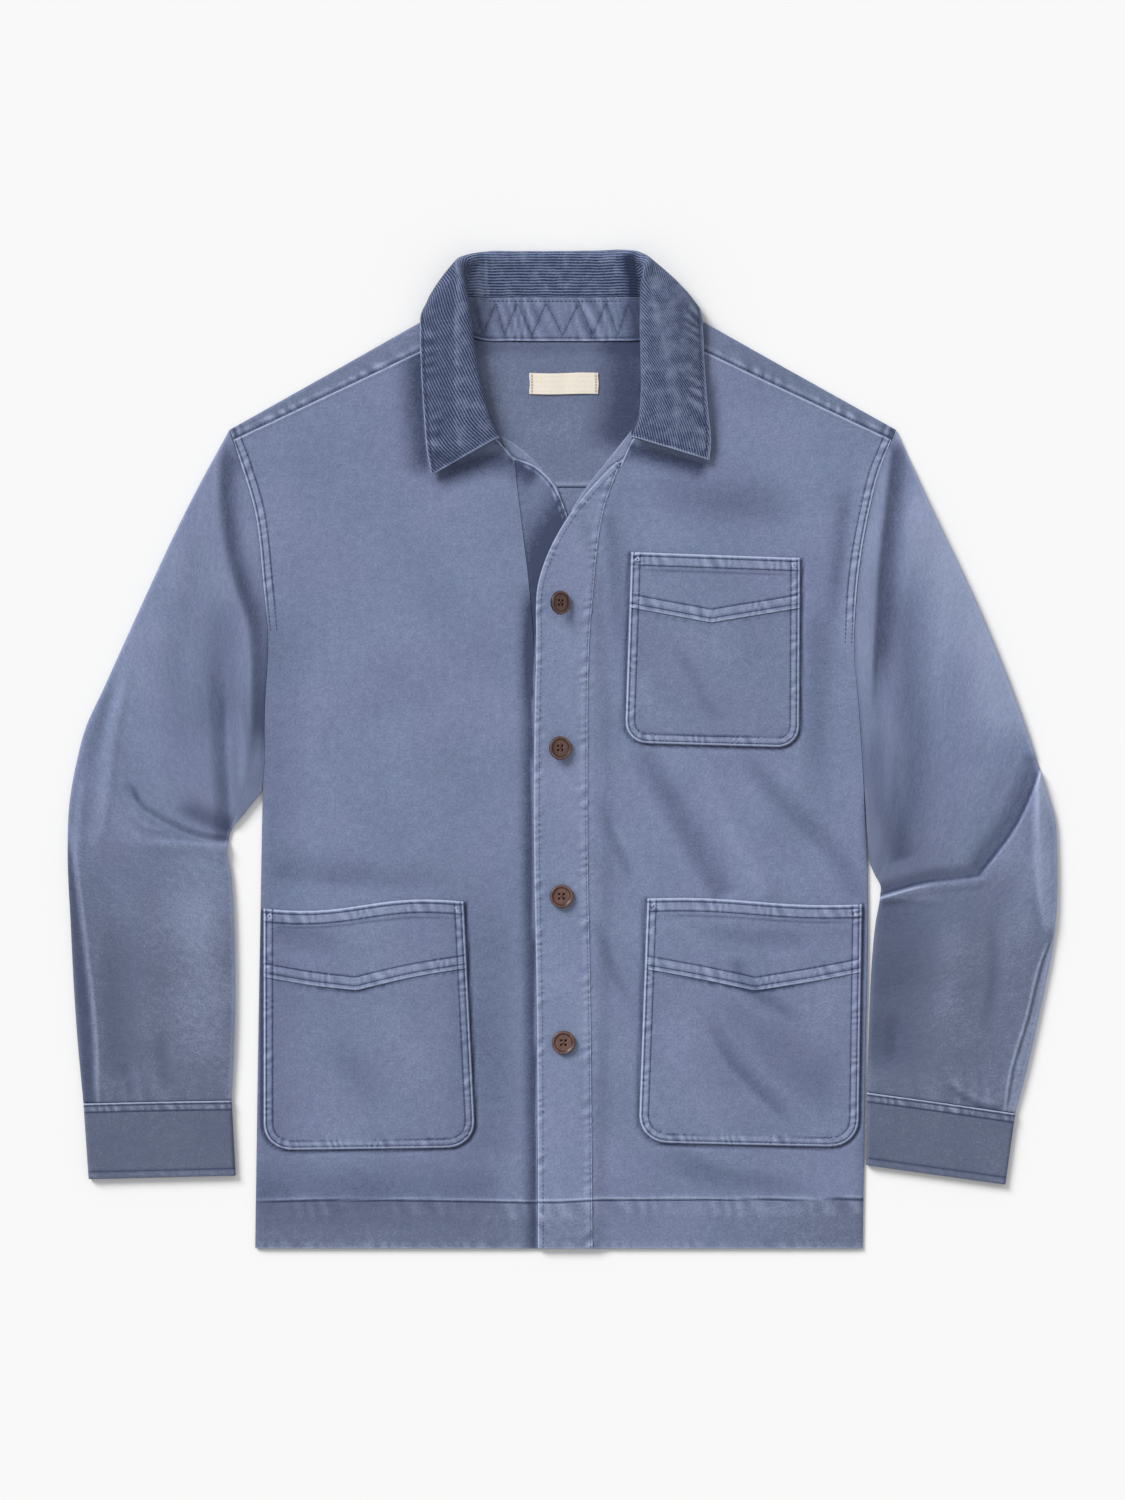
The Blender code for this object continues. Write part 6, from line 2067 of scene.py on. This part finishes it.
# Painted light and shade with no height: painted shade inside the collar at its right corner, and painted
# light inside it at the left
COLLAR_LIGHT_AND_SHADE = (
    Fold(((52, 397), (56, 378), (58, 352)), 9, 11, 0, 0.1, 0.25, -1.5),
    Fold(((-61, 396), (-60.4, 376), (-58, 356)), 2.4, 2.4, 0, 0.3, 0.2, 0.5),
    Fold(((-66, 388), (-65, 370), (-64, 352)), 6, 8, 0, 0.2, 0.1, 0.3),
)


@dataclass
class Collar:
    """The corduroy collar and the twill stand below it.

    wale_slant is how far the ribs of the falls run off the roll, as a share of the way along.
    """

    sections: int = 190
    roll_length: float = 1.35
    station_spread: float = 6
    wale_slant: float = -0.5
    stand_side_gap: float = 0.9
    quilting: StitchBook = field(
        default_factory=lambda: StitchBook(length=1.9, width=0.5, height=0.35, pitch=2.4))
    zigzag_top: tuple[float, ...] = (-72, -53, -36, -12.8, 13.2, 35, 53, 70)
    zigzag_bottom: tuple[float, ...] = (-63, -46, -24, 0.4, 24.4, 44.4, 62, 76)

    def rows(self) -> Array:
        """The stations' values, smoothly filled in to the count of sections.

        Returns:
            A row for each section: heading, nose, radius, the neck, seam, roll and edge points as three
            numbers each, and the two bulges.
        """
        rolls = np.array([station.roll for station in STATIONS])
        knots = lengths_along(rolls) + np.arange(len(rolls)) * self.station_spread
        whole = knots[-1]
        places = graded(whole, COLLAR_END_LINES, COLLAR_END_LINES, whole / self.sections) * whole
        return smooth_rows(knots, np.array([np.hstack(station) for station in STATIONS]), places)

    def surface(self) -> Array:
        """Points of the collar: across its sections from the stand seam, round the roll, to the edge.

        Returns:
            Points, rows by sections by 3.
        """
        rows = self.rows()
        heading, nose, radius = np.radians(rows[:, 0:1]), np.radians(rows[:, 1:2]), rows[:, 2:3]
        seam, roll, edge = rows[:, 6:9], rows[:, 9:12], rows[:, 12:15]
        up = np.array([UP])
        out = np.hstack([np.cos(heading), np.sin(heading), np.zeros_like(heading)])
        tip = -np.cos(nose) * out + np.sin(nose) * up
        fall_side = np.sin(nose) * out + np.cos(nose) * up
        before = roll - self.roll_length * radius * tip - radius * fall_side
        after = roll - self.roll_length * radius * tip + radius * fall_side
        inner = graded(38, (0, 0.5, 1.2, 2.2), (0,), 3.2)[:, None, None]
        arc = np.linspace(-math.pi / 2, math.pi / 2, 11)[1:-1, None, None]
        fall = graded(62, (0,), COLLAR_EDGE_LINES, 2.2)[:, None, None]
        bulge = 4 * fall * (1 - fall) * (rows[:, 15:16] * out + rows[:, 16:17] * up)
        grid = np.concatenate([
            seam + (before - seam) * inner,
            roll + (np.cos(arc) - 1) * self.roll_length * radius * tip + np.sin(arc) * radius * fall_side,
            after + (edge - after) * fall + bulge,
        ])
        grid[..., 2] = not_below(grid[..., 2], 0, 1)
        return grid

    def build(self, finish: Material, book: StitchBook) -> None:
        """Add the collar with its topstitched rim.

        Args:
            finish: its material.
            book: where its stitches go.
        """
        grid = self.surface()
        normals = np.cross(np.gradient(grid, axis=1), np.gradient(grid, axis=0))
        normals /= np.linalg.norm(normals, axis=2)[..., None] + 1e-9
        if normals[..., 2].sum() < 0:
            normals = -normals
        steps = np.linalg.norm(np.diff(grid, axis=0), axis=2)
        across = np.vstack([np.zeros((1, grid.shape[1])), np.cumsum(steps, axis=0)])
        middle = lengths_along(grid[len(grid) // 2])
        along = np.broadcast_to(middle, across.shape)
        from_edge = across[-1] - across
        from_end = np.minimum(along, middle[-1] - along)
        rim = np.minimum(from_edge, np.where(from_edge < 66, from_end, 99))
        waves = ripple(along, from_edge, 11, 81) * bell(from_edge - 9, 11)
        relief = profile(rim, Bump(3.6, 1.2, -0.35), Bump(1.4, 2, 0.3)) + 0.45 * waves
        relief -= 0.4 * bell(across, 2)
        # A pale rubbed rim with a dark row inside it, and painted light and shade on the waves' crests and
        # hollows
        wear_and_shade = profile(rim, Bump(0.4, 1.2, 1.3), Bump(3.4, 1.3, -0.5)) + 0.6 * waves
        # Darker at the stand seam, and a painted highlight along the roll
        wear_and_shade += profile(across, Bump(0.5, 2, -0.3), Bump(42, 8, 0.22))
        # Painted shade on the left fall and painted light on the right one
        wear_and_shade += (across > 42) * np.interp(grid[..., 0], FALL_LIGHT_AND_SHADE_PLACES, FALL_LIGHT_AND_SHADE)
        # Painted light and shade inside the roll
        wear_and_shade += total_relief(COLLAR_LIGHT_AND_SHADE, grid[..., 0], grid[..., 1])[1] * (across < 44)
        grid = grid + relief[..., None] * normals
        lengths = lengths_along(grid[len(grid) // 2])
        first, last = (lengths[int(grid.shape[1] * part)] for part in (0.34, 0.66))
        slant = self.wale_slant * (np.maximum(along - last, 0) + np.minimum(along - first, 0))
        cloth = Cloth(grid, wear_and_shade, np.zeros_like(wear_and_shade), np.dstack([across + slant, along]))
        lay_cloth(cloth, "collar_leaf", finish, COLLAR_WALL, "collar", held=Held.FOLDED)
        row = int(np.argmin(np.abs(from_edge[:, 60] - 3.6)))
        fall = slice(int(np.argmin(np.abs(from_edge[:, 4] - 50))), row)
        for part in ((row, slice(4, 66)), (row, slice(-66, -4)), (fall, 4), (fall, -5)):
            book.add_line(grid[part] + normals[part] * 0.1, normals[part])

    def build_stand(self, finish: Material, book: StitchBook) -> None:
        """Add the stand between the neck seam and the collar, with its zigzag quilting.

        Args:
            finish: its material.
            book: where the rows along its edges go.
        """
        rows = self.rows()
        neck, seam = rows[:, 3:6], rows[:, 6:9]
        run = seam - neck
        run = run / np.linalg.norm(run, axis=1)[:, None]
        sideways = 1 - rows[:, 1:2] / 180
        start = neck + run * SEAM_GAP
        end = seam - run * (SEAM_GAP + self.stand_side_gap * sideways)
        share = graded(STAND_HEIGHT, STAND_FOOT_LINES, BAND_SEAM_LINES, 1.6)[:, None, None]
        grid = start + (end - start) * share
        zigzag = self.zigzag()
        x, y = grid[..., 0], grid[..., 1]
        inside = ease((np.minimum(80 - x, x + 84)) / 8)
        quilt = measure(zigzag, x, y)[0]
        waves = ripple(x, y, 9, 91)
        low, high = share[..., 0] * STAND_HEIGHT, (1 - share[..., 0]) * STAND_HEIGHT
        relief = inside * (0.5 * (1 - bell(quilt, 5)) + 0.25 * waves) - 0.5 * bell(high - 2.2, 1.2)
        # Puffs between the quilting painted lighter, painted shade along its line, and painted light and shade
        # on the waves
        wear_and_shade = inside * (0.22 * (1 - bell(quilt, 4)) - 0.25 * bell(quilt, 1.6) + 0.45 * waves) - 0.28
        wear_and_shade = wear_and_shade + profile(low, Bump(0.6, 0.9, 0.7), Bump(2.6, 1.3, -0.7)) + 0.12 * bell(high, 2.4)
        # Painted shadows at both ends of the stand, inside the collar's rolls
        wear_and_shade = wear_and_shade + profile(x, Bump(62, 22, -0.75), Bump(-66, 16, -0.35))
        grid[..., 2] += relief * 0.8
        cloth = Cloth(grid, wear_and_shade, np.full(wear_and_shade.shape, 0.15))
        lay_cloth(cloth, "collar_stand_strip", finish, STAND_WALL, "collar_stand")
        self.quilting.add_row(zigzag, self.stand_face)
        for level, bow in ((329.2, 0.6), (358, 0)):
            place = np.linspace(-66, 58, 60)
            book.add_row(np.column_stack([place, level + bow * (np.abs(place) / 66) ** 3]), self.stand_face)

    @staticmethod
    def stand_face(x: Array, y: Array) -> Array:
        """Height of the stitches on the stand, which rises a little towards the roll."""
        return STAND_FACE + 0.045 * (y - 327)

    def zigzag(self) -> Array:
        """The quilting line, from one side of the stand to the other.

        Returns:
            Points of the line.
        """
        points = []
        for top, bottom in zip(self.zigzag_top, self.zigzag_bottom):
            points += [(top, 357), (bottom, 331)]
        return resample(np.array(points), np.linspace(0, 1, 140))


# ---------- buttons


@dataclass
class Buttons:
    """Four-hole buttons with a raised rim, their thread and the stitched buttonholes below them.

    turned is how far each button tips about the closure, in degrees.
    """

    places: tuple[Point, ...] = ((-2.2, 117.2), (-2, 1.2), (-0.6, -117.2), (1.2, -234))
    radius: float = 9.4
    thickness: float = 3.2
    rim: float = 2.2
    dish: float = 0.9
    hole_radius: float = 1.05
    hole_offset: float = 1.75
    face_rings: int = 18
    hole_length: float = 15
    hole_pitch: float = 0.8
    hole_row: float = 1.35
    turned: tuple[float, ...] = (36, 20, 6, 0)

    def section(self) -> tuple[Array, Array, Array]:
        """Turned face, from the middle out, round the rim and back under.

        Returns:
            Radii, heights, and the wear and painted shade: dark where the dish meets the rim and round the
            rim's outer side and underside, lighter on the rim's top.
        """
        r, h = self.radius, self.thickness
        dish = np.linspace(0.25, 4.6, self.face_rings)
        dish = np.concatenate([dish, np.linspace(4.9, r - self.rim - 0.5, 5)])
        lip = (r - self.rim, r - self.rim * 0.72, r - self.rim * 0.4, r - 0.45, r - 0.12, r)
        lip_heights = (h - 0.35, h - 0.05, h, h - 0.12, h - 0.5, h * 0.6)
        # Painted shade where the dish meets the rim and round the rim's outer side and underside, with the
        # face and the rim's top lighter
        dish_wear_and_shade = np.where(dish > r - self.rim - 0.9, -0.5, 0.22)
        radii = np.concatenate([dish, lip, (r - 0.15, r - 0.7, 3)])
        heights = np.concatenate([np.full(len(dish), h - self.dish), lip_heights, (h * 0.3, 0, 0)])
        wear_and_shade = np.concatenate([dish_wear_and_shade, (-0.5, 0.3, 0.4, 0.1, -0.5, -0.8), (-0.8, -0.8, -0.8)])
        return radii, heights, wear_and_shade

    def seated(self, points: Array, place: Point, angle: float) -> Array:
        """Tip points of a level button about its middle and seat them on the band.

        Args:
            points: the points, with the button's middle at the origin.
            place: where its middle goes.
            angle: how far it tips about the closure.

        Returns:
            The points in place.
        """
        turns = np.linspace(0, 2 * math.pi, 97)
        below = overlap_face(np.cos(turns) * self.radius + place[0], np.sin(turns) * self.radius + place[1])
        seat = float(below.max()) + SEAM_GAP + self.radius * abs(math.sin(angle))
        x, y, z = np.moveaxis(points, -1, 0)
        return np.stack([x * math.cos(angle) + z * math.sin(angle) + place[0], y + place[1],
                         z * math.cos(angle) - x * math.sin(angle) + seat], axis=-1)

    def build(self, finish: Material, thread: Material) -> None:
        """Add the buttons, each sewn with a crossed thread.

        Args:
            finish: material of the buttons.
            thread: material of the thread.
        """
        radii, heights, wear_and_shade = self.section()
        turns = np.linspace(0, 2 * math.pi, 97)
        x, y = radii[:, None] * np.cos(turns), radii[:, None] * np.sin(turns)
        holes = [(a * self.hole_offset, b * self.hole_offset) for a in (-1, 1) for b in (-1, 1)]
        depth = sum(ease((self.hole_radius - np.hypot(x - hx, y - hy)) / 0.35) for hx, hy in holes)
        depth = depth * (np.arange(len(radii)) < self.face_rings)[:, None]
        level = np.dstack([x, y, heights[:, None] - 1.7 * depth])
        # Painted shade in the holes
        shade = wear_and_shade[:, None] - 1.4 * depth
        rise = (0, 0, self.thickness - self.dish + 0.05)
        for number, (place, degrees) in enumerate(zip(self.places, self.turned), start=1):
            name, angle = f"button_{number}", math.radians(degrees)
            cloth = Cloth(self.seated(level, place, angle)[::-1], shade[::-1], np.zeros_like(shade))
            piece = cloth.build(name + "_disc", finish, ring=True)
            self.close(piece.data)
            settle(piece, [name])
            book = StitchBook(length=2.4, width=0.8, height=0.6, pitch=2.6)
            for start, end in ((holes[0], holes[3]), (holes[1], holes[2])):
                line = np.linspace((*start, 0), (*end, 0), 3) * 0.92 + rise
                book.add_line(self.seated(line, place, angle), (math.sin(angle), 0, math.cos(angle)))
            book.build(name + "_thread", thread, name)

    def build_holes(self, thread: Material) -> None:
        """Add the buttonholes: two close rows of crosswise stitches under each button.

        Args:
            thread: material of the stitches.
        """
        book = StitchBook(length=2.3, width=0.62, height=0.5)
        count = int(self.hole_length / self.hole_pitch)
        for place in self.places:
            levels = place[1] - 1.5 + np.linspace(-0.5, 0.5, count) * self.hole_length
            for side in (-self.hole_row, self.hole_row):
                middle = np.full(count, place[0] + side)
                height = (overlap_face(middle - 1.1, levels) + overlap_face(middle + 1.1, levels)) / 2 + 0.12
                book.centres.append(np.column_stack([middle, levels, height]))
                book.runs.append(np.tile((1, 0, 0), (count, 1)))
                book.ups.append(np.tile(UP, (count, 1)))
        book.build("buttonhole_stitches", thread, "band_overlap")

    @staticmethod
    def close(mesh: bpy.types.Mesh) -> None:
        """Close a turned shell with a cap over the hole in the middle of each face.

        Args:
            mesh: the shell.
        """
        shell = bmesh.new()
        shell.from_mesh(mesh)
        bmesh.ops.holes_fill(shell, edges=[edge for edge in shell.edges if edge.is_boundary], sides=0)
        bmesh.ops.recalc_face_normals(shell, faces=shell.faces)
        shell.to_mesh(mesh)
        shell.free()


# ---------- studio


@dataclass
class Studio:
    """A pale floor, soft light from the upper left and a camera straight above."""

    floor_colour: str = "#F6F6F6"
    camera_height: float = 3.333
    lens: float = 100
    sensor: float = 36
    floor_size: float = 80
    room: float = 0.52
    key: float = 3.05
    key_from: tuple[float, float, float] = (-0.72, 0.75, 0.64)
    softness: float = math.radians(26)

    def build(self) -> None:
        """Add the floor, the lights and the camera."""
        half = self.floor_size / 2
        mesh = bpy.data.meshes.new("floor")
        mesh.from_pydata([(-half, -half, 0), (half, -half, 0), (half, half, 0), (-half, half, 0)], [],
                         [(0, 1, 2, 3)])
        mesh.materials.append(Finish("matt_paper_sweep", self.floor_colour, 1, 0).make())
        floor = link_object("floor", mesh)
        floor.location = (0, 0, -0.0002)
        world = bpy.data.worlds.new("soft_room")
        world.use_nodes = True
        sky = world.node_tree.nodes["Background"]
        sky.inputs["Color"].default_value = (1, 1, 1, 1)
        sky.inputs["Strength"].default_value = self.room
        bpy.context.scene.world = world
        bpy.context.scene.view_settings.view_transform = "Standard"
        lamp = bpy.data.lights.new("softbox", "SUN")
        lamp.angle = self.softness
        lamp.energy = self.key
        light = link_object("softbox", lamp)
        light.rotation_mode = "QUATERNION"
        light.rotation_quaternion = (-Vector(self.key_from)).to_track_quat("-Z", "Y")
        camera = bpy.data.cameras.new("overhead")
        camera.lens = self.lens
        camera.sensor_width = self.sensor
        camera.clip_start = 0.01
        overhead = link_object("overhead", camera)
        overhead.location = (0.0004, -0.0004, self.camera_height)
        bpy.context.scene.camera = overhead


def main() -> None:
    """Build every piece of the jacket and the studio round it."""
    logging.basicConfig(level=logging.INFO, format="%(name)s %(message)s")
    log.info("frame has %d solids", len(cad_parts))
    Studio().build()
    twill, corduroy = TwillFinish().make(), CorduroyFinish().make()
    thread = ThreadFinish("dyed_sewing_thread", "#4E577A").make()
    pale_thread = ThreadFinish("faded_sewing_thread", "#667196").make()
    deep_thread = ThreadFinish("deep_dyed_sewing_thread", "#3F4869").make()
    dark_thread = ThreadFinish("brown_sewing_thread", "#6B3B36").make()
    navy_thread = ThreadFinish("navy_sewing_thread", "#4A4F6B").make()

    back = BackAndYoke()
    back.build_back(twill)
    shoulder_seams = back.build_yoke(twill)
    back.build_label(TapeFinish().make(), navy_thread)
    body_stitches, closure_stitches = StitchBook(), StitchBook()
    for front in make_fronts():
        front.build_panel(twill)
        front.build_band(twill)
        front.stitch(body_stitches, closure_stitches)
        front.build_facing(twill)
    for seam in shoulder_seams:
        for line in seam.stitch_lines():
            body_stitches.add_row(line, surface_of(front_face, [seam]))
    body_stitches.build("body_stitches", thread, "front_overlap")
    closure_stitches.build("closure_stitches", pale_thread, "band_overlap")

    pocket_stitches = StitchBook(pitch=2.5, length=1.75)
    for pocket in POCKETS:
        pocket.build(twill, pocket_stitches)
    pocket_stitches.build("pocket_stitches", deep_thread, "chest_pocket_body")

    cuff_stitches = StitchBook(pitch=2.7, length=1.85)
    for sleeve in (LEFT_SLEEVE, RIGHT_SLEEVE):
        sleeve.build(twill)
        sleeve.build_cuff(twill, cuff_stitches)
    cuff_stitches.build("cuff_stitches", deep_thread, "cuff_left")

    collar = Collar()
    collar_stitches = StitchBook()
    collar.build_stand(twill, collar_stitches)
    collar.build(corduroy, collar_stitches)
    collar_stitches.build("collar_stitches", thread, "collar_stand")
    collar.quilting.build("quilting_stitches", thread, "collar_stand")
    buttons = Buttons()
    buttons.build(HornFinish().make(), dark_thread)
    buttons.build_holes(thread)


if __name__ == "__main__":
    main()
